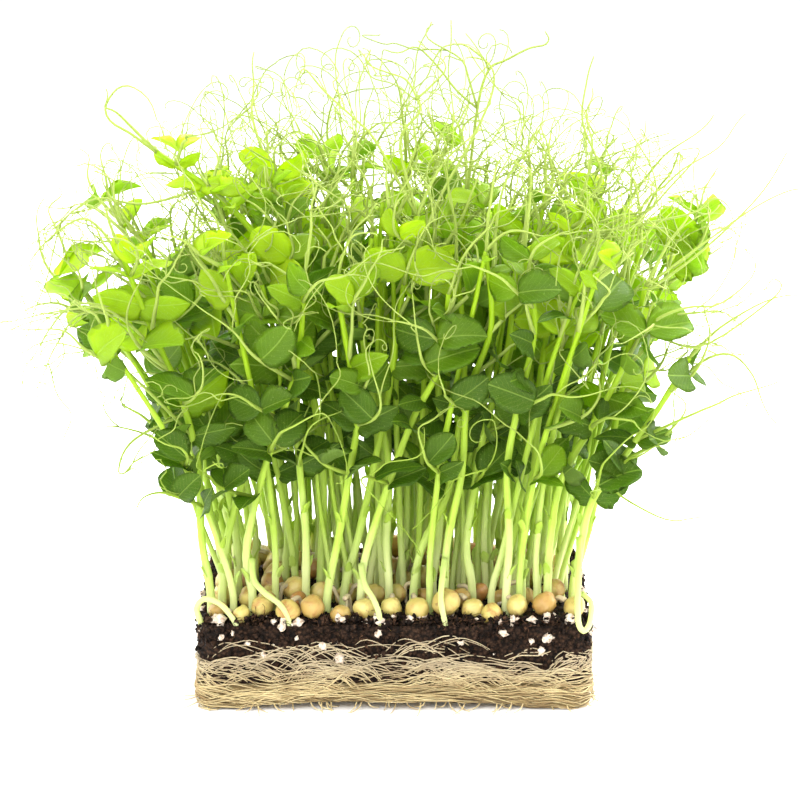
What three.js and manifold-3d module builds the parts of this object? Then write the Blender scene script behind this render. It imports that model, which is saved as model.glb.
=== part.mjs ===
// A block of pea shoots, lifted out of the tray it was sown in and standing on its own root mat.
// Millimetres, +Z up. The front of the block faces -Y, and the origin is the middle of its underside.
//
// From the bottom up it is made of a mat of roots that has taken the shape of the tray, the growing
// medium above it, rows of sown peas lying on that, and the leafy shoots, which stand in plain holes
// in the medium and lean against the peas. The shoots follow one rule of growth: a stem, three places
// along it where leaves are borne, and tendrils. A leaf that would touch a neighbour turns away.
import * as THREE from "three";
import { mergeVertices } from "three/addons/utils/BufferGeometryUtils.js";
import Module from "manifold-3d";

const wasm = await Module();
wasm.setup();

// Driving sizes
const blockWidth = 142;
const blockDepth = 104;
const blockHeight = 32;
const blockCorner = 7;
const matHeight = 9.5;
const gap = 0.3; // between two pieces that touch
const holeFloor = 23; // how low the buried end of a stem reaches
const stemRadius = 1.7;
const stemTipRadius = 0.95;
const bladeThickness = 0.7;
const turn = 2 * Math.PI;

// Colours and finishes
const finish = (color, roughness) => new THREE.MeshStandardMaterial({ color, roughness, metalness: 0 });
const finishes = {
  roots: finish(0xd9c48f, 0.8),
  medium: finish(0x2b1d15, 0.95),
  seeds: finish(0xe2c37a, 0.55),
  shoot: finish(0x76ad1c, 0.5),
};

const vec = (x, y, z) => new THREE.Vector3(x, y, z);
const made = (count, make) => Array.from({ length: count }, (_, i) => make(i));
const tapered = (count, from, to) => made(count, (i) => from + ((to - from) * i) / (count - 1));

// A repeatable stream of draws from 0 to 1, one stream for each number
const drawsModulus = 4294967296;
function draws(number) {
  let state = (number * 7919 + 12345) % drawsModulus;
  const next = () => {
    state = (state * 1664525 + 1013904223) % drawsModulus;
    return state / drawsModulus;
  };
  for (let i = 0; i < 4; i++) next();
  return next;
}

// Closed solids from vertices and triangles, and back again
function solidFrom(positions, triangles) {
  return new wasm.Manifold(
    new wasm.Mesh({
      numProp: 3,
      vertProperties: new Float32Array(positions),
      triVerts: new Uint32Array(triangles),
    }),
  );
}

function solidOf(geometry) {
  const bare = new THREE.BufferGeometry();
  bare.setAttribute("position", geometry.getAttribute("position"));
  if (geometry.index) bare.setIndex(geometry.index);
  const merged = mergeVertices(bare, 1e-3);
  return solidFrom(merged.getAttribute("position").array, merged.index.array);
}

function geometryOf(solid) {
  const mesh = solid.getMesh();
  const positions = new Float32Array(mesh.numVert * 3);
  for (let i = 0; i < mesh.numVert; i++) {
    positions.set(mesh.vertProperties.subarray(i * mesh.numProp, i * mesh.numProp + 3), i * 3);
  }
  const geometry = new THREE.BufferGeometry();
  geometry.setAttribute("position", new THREE.BufferAttribute(positions, 3));
  geometry.setIndex(new THREE.BufferAttribute(mesh.triVerts, 1));
  return geometry;
}

// A tapered tube through points, with flat ends
function tube(points, radii, sides) {
  const positions = [];
  const triangles = [];
  const last = points.length - 1;
  const along = (i) => points[Math.min(i + 1, last)].clone().sub(points[Math.max(i - 1, 0)]).normalize();
  const across = Math.abs(along(0).z) < 0.9 ? vec(0, 0, 1) : vec(0, 1, 0);
  points.forEach((point, i) => {
    const ahead = along(i);
    across.addScaledVector(ahead, -across.dot(ahead)).normalize();
    const third = ahead.clone().cross(across);
    for (let k = 0; k < sides; k++) {
      const angle = (turn * (k + 0.5)) / sides;
      const corner = point
        .clone()
        .addScaledVector(across, radii[i] * Math.cos(angle))
        .addScaledVector(third, radii[i] * Math.sin(angle));
      positions.push(corner.x, corner.y, corner.z);
    }
  });
  for (let i = 0; i < last; i++) {
    for (let k = 0; k < sides; k++) {
      const a = i * sides + k;
      const b = i * sides + ((k + 1) % sides);
      triangles.push(a, b, b + sides, a, b + sides, a + sides);
    }
  }
  for (let k = 1; k < sides - 1; k++) {
    triangles.push(0, k + 1, k);
    triangles.push(last * sides, last * sides + k, last * sides + k + 1);
  }
  return solidFrom(positions, triangles);
}

// Leaf outlines: the right edge and the left edge from the base to the tip, each point as
// [share of the length, share of the half width]
const outlines = {
  leaflet: {
    right: [[0, -0.04], [0.2, -0.75], [0.62, -1]],
    left: [[0, 0.04], [0.2, 0.75], [0.62, 1]],
    tip: [1, 0],
  },
  stipule: {
    right: [[0, -0.05], [0.08, -1.05], [0.3, -0.85], [0.6, -1.15]],
    left: [[0, 0.05], [0.15, 0.42], [0.35, 0.6], [0.7, 0.45]],
    tip: [1, -0.1],
  },
};

// Where a share of a blade's length and half width lies: its edges are raised and its tip droops
function bladePoint(blade, s, w) {
  const side = blade.facing.clone().cross(blade.axis);
  const rise = blade.halfWidth * blade.cup * w * w - blade.length * blade.droop * s * s;
  return blade.base
    .clone()
    .addScaledVector(blade.axis, blade.length * s)
    .addScaledVector(side, blade.halfWidth * w * blade.hand)
    .addScaledVector(blade.facing, rise);
}

// A thin blade with the same triangles on both faces: bands across it from the base to the tip
function bladeSolid(blade) {
  const { right, left, tip } = outlines[blade.kind];
  const rim = [...right, tip, ...left.slice().reverse()];
  const count = rim.length;
  const positions = [];
  for (const lift of [bladeThickness / 2, -bladeThickness / 2]) {
    for (const [s, w] of rim) {
      const point = bladePoint(blade, s, w).addScaledVector(blade.facing, lift);
      positions.push(point.x, point.y, point.z);
    }
  }
  const triangles = [];
  const face = (a, b, c) => triangles.push(a, b, c, count + a, count + c, count + b);
  for (let i = 0; i + 1 < right.length; i++) {
    face(i, i + 1, count - 2 - i);
    face(i, count - 2 - i, count - 1 - i);
  }
  face(right.length - 1, right.length, right.length + 1);
  for (let i = 0; i < count; i++) {
    const j = (i + 1) % count;
    triangles.push(count + i, count + j, j, count + i, j, i);
  }
  if (blade.hand < 0) triangles.reverse();
  return solidFrom(positions, triangles);
}

// Room: every tube and blade is also a list of balls, and a new one may not touch another shoot's
const cellSize = 7;
const cells = new Map();
const cellKey = (i, j, k) => i * 1000000 + j * 1000 + k;
const cellOf = (value) => Math.floor(value / cellSize) + 100;

function occupy(balls, owner) {
  for (const [point, radius] of balls) {
    const key = cellKey(cellOf(point.x), cellOf(point.y), cellOf(point.z));
    if (!cells.has(key)) cells.set(key, []);
    cells.get(key).push([point.x, point.y, point.z, radius, owner]);
  }
}

function isClear(balls, owner) {
  for (const [point, radius] of balls) {
    const [i, j, k] = [cellOf(point.x), cellOf(point.y), cellOf(point.z)];
    for (let n = 0; n < 27; n++) {
      const [across, along, up] = [n % 3, Math.floor(n / 3) % 3, Math.floor(n / 9)];
      const near = cells.get(cellKey(i - 1 + across, j - 1 + along, k - 1 + up));
      for (const [x, y, z, other, whose] of near ?? []) {
        const room = radius + other;
        const away = (x - point.x) ** 2 + (y - point.y) ** 2 + (z - point.z) ** 2;
        if (whose !== owner && away < room * room) return false;
      }
    }
  }
  return true;
}

// Balls along a line of points, close enough together that nothing slips between them
const ballStep = 2.4;
function tubeBalls(points, radii, spare) {
  const balls = [[points[0], radii[0] + spare]];
  for (let i = 1; i < points.length; i++) {
    const count = Math.ceil(points[i].distanceTo(points[i - 1]) / ballStep);
    for (let k = 1; k <= count; k++) {
      const radius = radii[i - 1] + ((radii[i] - radii[i - 1]) * k) / count;
      balls.push([points[i - 1].clone().lerp(points[i], k / count), radius + spare]);
    }
  }
  return balls;
}

// Balls over a blade, at shares of its length and of how far its edges reach there
const bladeBall = 2.3;
const bladeReaches = [[0.1, 0.4], [0.28, 0.9], [0.46, 1], [0.64, 1], [0.82, 0.6], [0.96, 0.2]];
function bladeBalls(blade) {
  const balls = [];
  for (const [s, reach] of bladeReaches) {
    for (const w of [-1, -0.5, 0, 0.5, 1]) balls.push([bladePoint(blade, s, w * reach), bladeBall]);
  }
  return balls;
}

// Rows of sown peas lying on the medium, each touching the next
const seedRowsY = [-43, -22.5, -2, 18.5, 39];
const seedRowHalf = 64;
const seedLow = 4.1;
const seedHigh = 5.3;
const seedSway = 1.9;
const seedOverlap = 0.97;
const seedLift = blockHeight + 1.2; // clear of the highest crumb

function seedRow(row) {
  const draw = draws(500 + row);
  const peas = [];
  let x = -seedRowHalf + 3 * draw();
  let before = 0;
  while (true) {
    const radius = seedLow + (seedHigh - seedLow) * draw();
    const sway = seedSway * (2 * draw() - 1);
    if (before) x += (before + radius) * seedOverlap;
    if (x > seedRowHalf + 1) break;
    peas.push({ x, y: seedRowsY[row] + sway, z: seedLift + radius * 0.97, radius });
    before = radius;
  }
  return peas;
}
const seedRows = seedRowsY.map((_, row) => seedRow(row));

function seedRowSolid(peas, sides) {
  const points = [];
  const radii = [];
  for (const { x, y, z, radius } of peas) {
    for (const [share, girth] of [[-0.97, 0.35], [-0.5, 0.97], [0.5, 0.97]]) {
      points.push(vec(x + share * radius, y, z));
      radii.push(girth * radius);
    }
  }
  return tube(points, radii, sides);
}

// A stem stands against the nearest peas of its row, before it or behind it
function besideSeeds(x, row, side) {
  const reach = stemRadius + 0.5;
  let push = 0;
  for (const pea of seedRows[row]) {
    const room = pea.radius + reach;
    const off = x - pea.x;
    if (Math.abs(off) < room) {
      push = Math.max(push, side * (pea.y - seedRowsY[row]) + Math.sqrt(room * room - off * off));
    }
  }
  return seedRowsY[row] + side * push;
}

// The front shoots, from left to right: where each stands, how far it leans forward or back, its
// stem's course upward as [x, z], and its leaves as [kind, share of the way up, azimuth, length]
const front = [
  {
    x: -66, row: 0, side: 1, lean: -6,
    course: [[-69, 60], [-70, 88], [-76, 113], [-86, 138], [-95, 163]],
    leaves: [["stipule", 0.56, -112, 14], ["leaflet", 0.72, -150, 19], ["stipule", 0.88, -95, 18]],
  },
  {
    x: -62, row: 1, side: -1, lean: 2,
    course: [[-60, 58], [-52, 87], [-43, 107], [-41, 124], [-47, 150]],
    leaves: [["stipule", 0.72, -84, 21], ["leaflet", 0.88, -120, 16]],
  },
  {
    x: -51, row: 0, side: 1, lean: -14,
    course: [[-53, 54], [-49, 75], [-43, 96], [-34, 125], [-31, 158]],
    leaves: [["leaflet", 0.72, -128, 15], ["stipule", 0.88, -70, 17]],
  },
  {
    x: -32, row: 1, side: -1, lean: -2,
    course: [[-32, 60], [-34, 84], [-35, 105], [-30, 130], [-24, 152]],
    leaves: [["stipule", 0.72, -100, 18], ["leaflet", 0.88, -75, 18]],
  },
  {
    x: -24, row: 0, side: 1, lean: -12,
    course: [[-20, 60], [-16, 84], [-13, 106], [-16, 128], [-20, 152]],
    leaves: [["stipule", 0.88, -96, 21], ["leaflet", 0.72, -60, 14]],
  },
  {
    x: -18, row: 1, side: -1, lean: -6,
    course: [[-13, 58], [-7, 86], [-2, 112], [2, 142], [8, 176]],
    leaves: [["stipule", 0.72, -112, 17], ["leaflet", 0.88, -80, 17]],
  },
  {
    x: -12, row: 0, side: 1, lean: -10,
    course: [[-10, 54], [-2, 80], [7, 105], [16, 124], [19, 150]],
    leaves: [["stipule", 0.72, -70, 18], ["leaflet", 0.88, -110, 15]],
  },
  {
    x: -2, row: 1, side: -1, lean: 4,
    course: [[-3, 56], [-2, 84], [-8, 112], [-12, 138], [-8, 166]],
    leaves: [["leaflet", 0.72, -110, 16], ["stipule", 0.88, -80, 18]],
  },
  {
    x: 7, row: 1, side: -1, lean: 0,
    course: [[10, 54], [19, 74], [23, 98], [25, 124], [22, 158]],
    leaves: [["stipule", 0.72, -90, 15], ["leaflet", 0.88, -66, 18]],
  },
  {
    x: 18, row: 0, side: 1, lean: -12,
    course: [[19, 58], [24, 84], [26, 112], [34, 138], [32, 164]],
    leaves: [["leaflet", 0.72, -52, 15], ["stipule", 0.88, -94, 22]],
  },
  {
    x: 28, row: 1, side: -1, lean: -4,
    course: [[26, 54], [29, 78], [33, 100], [40, 126], [43, 156]],
    leaves: [["stipule", 0.72, -84, 16], ["leaflet", 0.88, -100, 19]],
  },
  {
    x: 40, row: 0, side: 1, lean: -14,
    course: [[41, 60], [40, 86], [44, 112], [49, 138], [45, 166]],
    leaves: [["stipule", 0.72, -60, 18], ["leaflet", 0.88, -120, 16]],
  },
  {
    x: 46, row: 1, side: -1, lean: 0,
    course: [[46, 60], [50, 84], [52, 104], [60, 130], [64, 158]],
    leaves: [["leaflet", 0.72, -96, 17], ["stipule", 0.88, -70, 18]],
  },
  {
    x: 55, row: 0, side: 1, lean: -8,
    course: [[56, 60], [60, 82], [72, 104], [82, 126], [88, 152]],
    leaves: [["stipule", 0.72, -100, 19], ["leaflet", 0.88, -74, 19]],
  },
  {
    x: 65, row: 0, side: 1, lean: -4,
    course: [[67, 58], [71, 74], [82, 90], [94, 108], [104, 126]],
    leaves: [["leaflet", 0.56, -38, 14], ["stipule", 0.72, -80, 16], ["leaflet", 0.88, -20, 17]],
  },
  {
    x: 65, row: 1, side: -1, lean: 8,
    course: [[69, 54], [74, 76], [80, 100], [84, 128], [78, 158]],
    leaves: [["stipule", 0.88, -76, 18], ["leaflet", 0.72, -50, 16]],
  },
  {
    x: -27, row: 1, side: 1, lean: -4,
    course: [[-26, 80], [-33, 128], [-44, 158], [-62, 180], [-84, 196]],
    leaves: [["stipule", 0.88, -100, 14], ["leaflet", 0.56, -70, 16]],
  },
];

// The shoots behind them, by rule: how many stand along each side of each row
const ruledLanes = [
  { row: 1, side: 1, xs: [-57, 14, 40] },
  { row: 2, side: -1, xs: [-40, -6, 60] },
  { row: 2, side: 1, xs: [-62, -22, 24] },
  { row: 3, side: -1, xs: [-42, 4, 50] },
  { row: 3, side: 1, xs: [-60, -20, 26, 64] },
  { row: 4, side: -1, xs: [-38] },
  { row: 4, side: 1, xs: [-58, -16, 14, 56] },
];

// The line of a stem: straight up out of its hole, then along its course, leaning more the higher it is
const curveThrough = (points) => new THREE.CatmullRomCurve3(points, false, "catmullrom", 0.5);
function stemCurve(x, y, course, lean) {
  const top = course[course.length - 1][1];
  const points = [vec(x, y, holeFloor), vec(x, y, blockHeight + 7)];
  for (const [courseX, z] of course) {
    const risen = (z - blockHeight) / (top - blockHeight);
    points.push(vec(courseX, y + lean * Math.pow(risen, 1.6), z));
  }
  return curveThrough(points);
}

const leafPlaces = [0.56, 0.72, 0.88]; // shares of the way up where leaves are borne
const stemPlaces = [0, 0.15, 0.36, ...leafPlaces, 1];
function stemLine(curve) {
  const points = stemPlaces.map((place) => curve.getPoint(place));
  const radii = stemPlaces.map((place) => stemRadius + (stemTipRadius - stemRadius) * place);
  return { points, radii };
}

function ruledCourse(x, y, draw) {
  const topX = x * (1.3 + 0.4 * draw()) + 26 * (draw() - 0.5);
  const topZ = 192 - 26 * (x / 66) ** 2 - 8 * (y / 50) ** 2 - 34 * draw();
  const sway = 7 * (draw() - 0.5);
  const course = [0.18, 0.42, 0.66, 0.84, 1].map((risen, i) => {
    const courseX = x + (topX - x) * Math.pow(risen, 1.5) + sway * Math.sin(risen * 5);
    return [courseX, blockHeight + (topZ - blockHeight) * risen];
  });
  const lean = y * (0.25 + 0.4 * draw()) + 20 * (draw() - 0.5);
  return { course, lean };
}

// Every stem, placed so that it is clear of the others
const stemSpare = 0.35;
const shoots = [];
function plant(x, y, course, lean, draw) {
  const curve = stemCurve(x, y, course, lean);
  const { points, radii } = stemLine(curve);
  const fine = made(25, (i) => curve.getPoint(i / 24));
  const fineRadii = tapered(25, 1.5, 1);
  const balls = [...tubeBalls(points, radii, stemSpare), ...tubeBalls(fine, fineRadii, stemSpare)];
  const number = shoots.length;
  if (!isClear(balls, number)) return false;
  occupy(balls, number);
  shoots.push({ x, y, curve, points, radii, draw, number });
  return true;
}

front.forEach(({ x, row, side, lean, course, leaves }) => {
  const y = besideSeeds(x, row, side);
  const draw = draws(shoots.length + 1);
  const leans = [0, 3, -3, 6, -6, 9, -9, 12, -12].map((change) => lean + change);
  const found = leans.some((tried) => plant(x, y, course, tried, draw));
  if (!found) throw new Error("no room for the shoot at x " + x);
  shoots[shoots.length - 1].leaves = leaves;
});
for (const { row, side, xs } of ruledLanes) {
  for (const x of xs) {
    const y = besideSeeds(x, row, side);
    const draw = draws(shoots.length + 1);
    for (let attempt = 0; attempt < 30; attempt++) {
      const { course, lean } = ruledCourse(x, y, draw);
      if (plant(x, y, course, lean, draw)) break;
    }
  }
}

// A tendril: a few even steps that bend more and more towards one side, pulled upward at first
function tendrilLine(start, ahead, length, steps, bend, pull, axis) {
  const points = [start.clone()];
  const heading = ahead.clone().normalize();
  const hinge = axis.clone().normalize();
  for (let i = 1; i <= steps; i++) {
    heading.applyAxisAngle(hinge, (bend * (i + 1)) / steps);
    heading.z += pull / i;
    heading.normalize();
    points.push(points[i - 1].clone().addScaledVector(heading, length / steps));
  }
  return points;
}

// The direction a leaf points and the direction its blades face
const pointing = (azimuth, climb) =>
  vec(Math.cos(azimuth) * Math.cos(climb), Math.sin(azimuth) * Math.cos(climb), Math.sin(climb));

// A pair of blades that face one way, spread to either side of it
function bladePair(base, azimuth, tilt, spread, kind, length, draw) {
  const facing = pointing(azimuth, tilt);
  const side = vec(-Math.sin(azimuth), Math.cos(azimuth), 0);
  const upward = facing.clone().cross(side);
  return [1, -1].map((hand) => {
    const angle = spread + 0.5 * (draw() - 0.5);
    const sideways = side.clone().multiplyScalar(hand * Math.cos(angle));
    const axis = sideways.addScaledVector(upward, Math.sin(angle));
    const size = length * (0.85 + 0.3 * draw());
    return {
      kind,
      base: base.clone().addScaledVector(axis, 0.3),
      axis,
      facing,
      hand: kind === "stipule" ? hand : 1,
      length: size,
      halfWidth: size * (kind === "stipule" ? 0.34 : 0.38),
      cup: 0.1 + 0.3 * draw(),
      droop: 0.05 + 0.3 * draw(),
    };
  });
}

// Keeps a pair or a tendril only where it is clear of other shoots; a late attempt may keep one of two
function keepBlades(shoot, pair, needed) {
  const clear = pair.filter((blade) => isClear(bladeBalls(blade), shoot.number));
  if (clear.length < needed) return false;
  for (const blade of clear) {
    occupy(bladeBalls(blade), shoot.number);
    shoot.blades.push(blade);
  }
  return true;
}

const tendrilSpare = 0.5;
function keepTube(shoot, points, radii) {
  const balls = tubeBalls(points, radii, tendrilSpare);
  if (!isClear(balls, shoot.number)) return false;
  occupy(balls, shoot.number);
  shoot.tubes.push({ points, radii });
  return true;
}

// Leaves face outward from the middle of the block, to the left and the right in turn. Each attempt
// that finds no room turns the leaf a little further and makes it a little smaller.
const attempts = 16;
const stray = 2.2; // how far an attempt may turn the leaf, in radians
function outward(shoot, place, order) {
  const point = shoot.curve.getPoint(place);
  const middle = Math.atan2(point.y + shoot.y * 0.5 - 30, point.x + shoot.x * 0.5);
  return middle + (order % 2 ? 0.9 : -0.9);
}

function growStipules(shoot, place, aim, length) {
  const base = shoot.curve.getPoint(place);
  for (let attempt = 0; attempt < attempts; attempt++) {
    const azimuth = aim + stray * (shoot.draw() - 0.5) * (0.1 + attempt / 5);
    const tilt = 0.15 + 0.6 * shoot.draw();
    const size = length * (1 - 0.02 * attempt);
    const pair = bladePair(base, azimuth, tilt, 0.15, "stipule", size, shoot.draw);
    if (keepBlades(shoot, pair, attempt < attempts / 2 ? 2 : 1)) return;
  }
}

function growLeaf(shoot, place, aim, length) {
  const base = shoot.curve.getPoint(place);
  for (let attempt = 0; attempt < attempts; attempt++) {
    const azimuth = aim + stray * (shoot.draw() - 0.5) * (0.1 + attempt / 5);
    const climb = 0.35 + 0.5 * shoot.draw();
    const ahead = pointing(azimuth, climb);
    const end = base.clone().addScaledVector(ahead, length * (0.6 + 0.3 * shoot.draw()));
    const tilt = 0.2 + 0.6 * shoot.draw();
    const axis = vec(shoot.draw() - 0.5, shoot.draw() - 0.5, shoot.draw() - 0.5);
    const size = length * (1 - 0.02 * attempt);
    const fork = end.clone().addScaledVector(ahead, -0.8);
    const pair = bladePair(fork, azimuth, tilt, 0.35, "leaflet", size, shoot.draw);
    const points = [base, ...tendrilLine(end, ahead, length * 1.6, 3, 0.6, 0.3, axis)];
    const radii = [1.0, 0.9, ...tapered(3, 0.75, 0.45)];
    const room = pair.filter((blade) => isClear(bladeBalls(blade), shoot.number)).length;
    if (room >= (attempt < attempts / 2 ? 2 : 1) && keepTube(shoot, points, radii)) {
      keepBlades(shoot, pair, 1);
      return;
    }
  }
}

// The stem runs out into a tendril of its own, shorter with each attempt
const tipSteps = 3;
const tipLength = 46;
function growTip(shoot, length) {
  const top = shoot.curve.getPoint(1);
  const ahead = shoot.curve.getTangent(1);
  for (let attempt = 0; attempt < 12; attempt++) {
    const axis = vec(shoot.draw() - 0.5, shoot.draw() - 0.5, shoot.draw() - 0.5);
    const aim = ahead.clone();
    aim.x += 0.9 * (shoot.draw() - 0.5);
    aim.y += 0.9 * (shoot.draw() - 0.5);
    const line = tendrilLine(top, aim, length * (1 - 0.07 * attempt), tipSteps, 0.6, 0.25, axis);
    const radii = tapered(tipSteps + 1, 0.75, 0.4);
    const balls = tubeBalls(line, radii, tendrilSpare);
    if (!isClear(balls, shoot.number)) continue;
    occupy(balls, shoot.number);
    shoot.tip = { points: line.slice(1), radii: radii.slice(1) };
    return;
  }
}

// Long tendrils that reach out of the leaves: the shoot that bears each, how far up its stem,
// and its course as [x, y, z]
const reaching = [
  { shoot: 0, place: 0.72, course: [[-96, -44, 142], [-112, -45, 145], [-126, -45, 142], [-141, -44, 138]] },
  {
    shoot: 0, place: 0.88,
    course: [[-103, -36, 172], [-115, -34, 172], [-126, -33, 162], [-129, -33, 158]],
  },
  { shoot: 0, place: 0.56, course: [[-92, -50, 122], [-104, -53, 131], [-117, -54, 134], [-126, -55, 124]] },
  { shoot: 13, place: 0.88, course: [[98, -52, 146], [112, -53, 147], [124, -53, 158], [122, -52, 168]] },
  { shoot: 14, place: 0.72, course: [[104, -44, 106], [118, -44, 112], [132, -43, 116], [138, -42, 124]] },
  { shoot: 14, place: 0.88, course: [[114, -40, 128], [126, -40, 120], [132, -40, 108], [138, -40, 96]] },
  {
    shoot: 5, place: 0.88,
    course: [[18, -31, 186], [30, -29, 207], [35, -28, 224], [33, -27, 232], [24, -27, 239]],
  },
  { shoot: 9, place: 0.88, course: [[36, -40, 178], [42, -37, 194], [50, -35, 206], [60, -34, 210]] },
  { shoot: 15, place: 0.88, course: [[86, -14, 172], [98, -12, 184], [112, -11, 196], [126, -10, 208]] },
];

shoots.forEach((shoot) => {
  shoot.blades = [];
  shoot.tubes = [];
  shoot.tip = { points: [], radii: [] };
});
for (const { shoot: number, place, course } of reaching) {
  const shoot = shoots[number];
  const found = [0, 3, -3, 6, -6, 9, -9].some((shift) => {
    const shifted = course.map(([x, y, z]) => vec(x, y + shift, z));
    const line = curveThrough([shoot.curve.getPoint(place), ...shifted]);
    const points = made(7, (i) => line.getPoint(i / 6));
    return keepTube(shoot, points, tapered(7, 0.85, 0.4));
  });
  if (!found) throw new Error("a tendril of shoot " + (number + 1) + " has no room");
}
shoots.forEach((shoot) => growTip(shoot, tipLength));
shoots.forEach((shoot) => {
  for (const [kind, place, degrees, length] of shoot.leaves ?? []) {
    const grow = kind === "leaflet" ? growLeaf : growStipules;
    grow(shoot, place, (degrees * Math.PI) / 180, length);
  }
});
const leafLength = 18;
const youngLeafLength = 15;
const [lowPlace, middlePlace, highPlace] = leafPlaces;
shoots.forEach((shoot) => {
  if (shoot.leaves) return;
  growLeaf(shoot, middlePlace, outward(shoot, middlePlace, 0), leafLength);
  const place = shoot.number % 2 ? highPlace : lowPlace;
  growStipules(shoot, place, outward(shoot, place, 1), leafLength);
  if (shoot.number % 4 === 0) growLeaf(shoot, highPlace, outward(shoot, highPlace, 1), youngLeafLength);
});

// One solid for each shoot: its stem, its blades sunk into it, and its tendrils
function shootSolid(shoot) {
  const line = [...shoot.points, ...shoot.tip.points];
  const parts = [tube(line, [...shoot.radii, ...shoot.tip.radii], 4)];
  for (const { points, radii } of shoot.tubes) parts.push(tube(points, radii, 3));
  for (const blade of shoot.blades) parts.push(bladeSolid(blade));
  return wasm.Manifold.union(parts);
}

// A point on the side of the block, a share of the way round from the front's left end, set in by
// some distance, and the way that side faces there
function perimeterPoint(share, inset) {
  const halfWidth = blockWidth / 2 - inset;
  const halfDepth = blockDepth / 2 - inset;
  const corner = blockCorner - inset / 2;
  const straightX = 2 * (halfWidth - corner);
  const straightY = 2 * (halfDepth - corner);
  const arc = (Math.PI / 2) * corner;
  const around = 2 * (straightX + straightY) + 4 * arc;
  let left = (((share % 1) + 1) % 1) * around;
  const legs = [
    [straightX, vec(-halfWidth + corner, -halfDepth, 0), 0],
    [straightY, vec(halfWidth, -halfDepth + corner, 0), 1],
    [straightX, vec(halfWidth - corner, halfDepth, 0), 2],
    [straightY, vec(-halfWidth, halfDepth - corner, 0), 3],
  ];
  for (const [length, start, quarter] of legs) {
    const angle = (quarter * Math.PI) / 2;
    const ahead = vec(Math.cos(angle), Math.sin(angle), 0);
    const outwards = vec(Math.sin(angle), -Math.cos(angle), 0);
    if (left <= length) return { point: start.clone().addScaledVector(ahead, left), outwards };
    left -= length;
    if (left <= arc) {
      const swung = angle - Math.PI / 2 + left / corner;
      const centre = start.clone().addScaledVector(ahead, length).addScaledVector(outwards, -corner);
      const facing = vec(Math.cos(swung), Math.sin(swung), 0);
      return { point: centre.addScaledVector(facing, corner), outwards: facing };
    }
    left -= arc;
  }
  return { point: legs[0][1].clone(), outwards: vec(0, -1, 0) };
}

// A closed wall of rings round the block, from the lowest to the highest, with flat ends
function ringSolid(ringPoints) {
  const around = ringPoints[0].length;
  const levels = ringPoints.length;
  const positions = [];
  const triangles = [];
  for (const point of ringPoints.flat()) positions.push(point.x, point.y, point.z);
  for (let level = 0; level + 1 < levels; level++) {
    for (let i = 0; i < around; i++) {
      const a = level * around + i;
      const b = level * around + ((i + 1) % around);
      triangles.push(a, b, b + around, a, b + around, a + around);
    }
  }
  const low = positions.length / 3;
  positions.push(0, 0, ringPoints[0][0].z);
  positions.push(0, 0, ringPoints[levels - 1][0].z);
  for (let i = 0; i < around; i++) {
    const j = (i + 1) % around;
    triangles.push(low, j, i);
    triangles.push(low + 1, (levels - 1) * around + i, (levels - 1) * around + j);
  }
  return solidFrom(positions, triangles);
}

// The root mat: layers of roots that bulge in turn round the side, a shallow hollow under the front
// edge, loops of root that climb the medium, and loose ends that lie along the floor
const mediumInset = 1.7;
function rootMatSolid() {
  const around = 40;
  const levels = [0, 2.2, 4.6, 7, matHeight];
  const bulge = [1.6, 0, 0.9, 0.1, 1.5];
  const rings = levels.map((z, level) =>
    made(around, (i) => {
      const share = i / around;
      const { point, outwards } = perimeterPoint(share, 0);
      const broadWave = 0.35 * Math.sin(turn * share * 5 + level * 1.7);
      const wave = broadWave + 0.25 * Math.sin(turn * share * 13 + level * 2.9);
      const inner = level > 0 && level < levels.length - 1;
      point.addScaledVector(outwards, -bulge[level] + (inner ? wave - 0.3 : 0));
      point.z = z + (inner ? 0.5 * Math.sin(turn * share * 7 + level) : 0);
      return point;
    }),
  );
  const hollow = new THREE.SphereGeometry(1, 10, 4).scale(52, 20, 2.6).translate(-4, -blockDepth / 2, 0);
  const parts = [ringSolid(rings).subtract(solidOf(hollow))];
  const draw = draws(900);
  const loops = 9;
  for (let i = 0; i < loops; i++) {
    const start = (i + 0.7 * draw()) / loops;
    const span = 0.03 + 0.05 * draw();
    const height = 13 + 9 * draw();
    const steps = 4;
    const points = made(steps + 1, (k) => {
      const risen = Math.sin((Math.PI * k) / steps);
      const { point } = perimeterPoint(start + (span * k) / steps, 0.75);
      point.z = matHeight - 2.2 + (height - matHeight + 2.2) * Math.pow(risen, 0.8);
      return point;
    });
    parts.push(tube(points, tapered(steps + 1, 0.75, 0.6), 3));
  }
  const ends = 6;
  for (let i = 0; i < ends; i++) {
    const share = -0.03 + (0.36 * (i + draw())) / ends;
    const { point, outwards } = perimeterPoint(share, 5);
    const drift = vec(draw() - 0.5, draw() - 0.5, 0).multiplyScalar(10);
    const points = [0, 0.4, 0.7, 1].map((reach) => {
      const lying = point.clone().addScaledVector(outwards, 13 * reach);
      lying.addScaledVector(drift, reach * reach);
      lying.z = 0.75 + 4 * (1 - reach) ** 2;
      return lying;
    });
    parts.push(tube(points, [0.7, 0.7, 0.6, 0.5], 3));
  }
  return wasm.Manifold.union(parts);
}

// The growing medium: a crumbly block with a plain hole for each stem
function crumb(x, y, z) {
  const lump = 0.45 * Math.sin(x * 0.71 + y * 0.37) * Math.cos(y * 0.63 - z * 0.9);
  return lump + 0.3 * Math.sin(x * 1.37 - y * 1.13 + z * 2.1);
}

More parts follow.
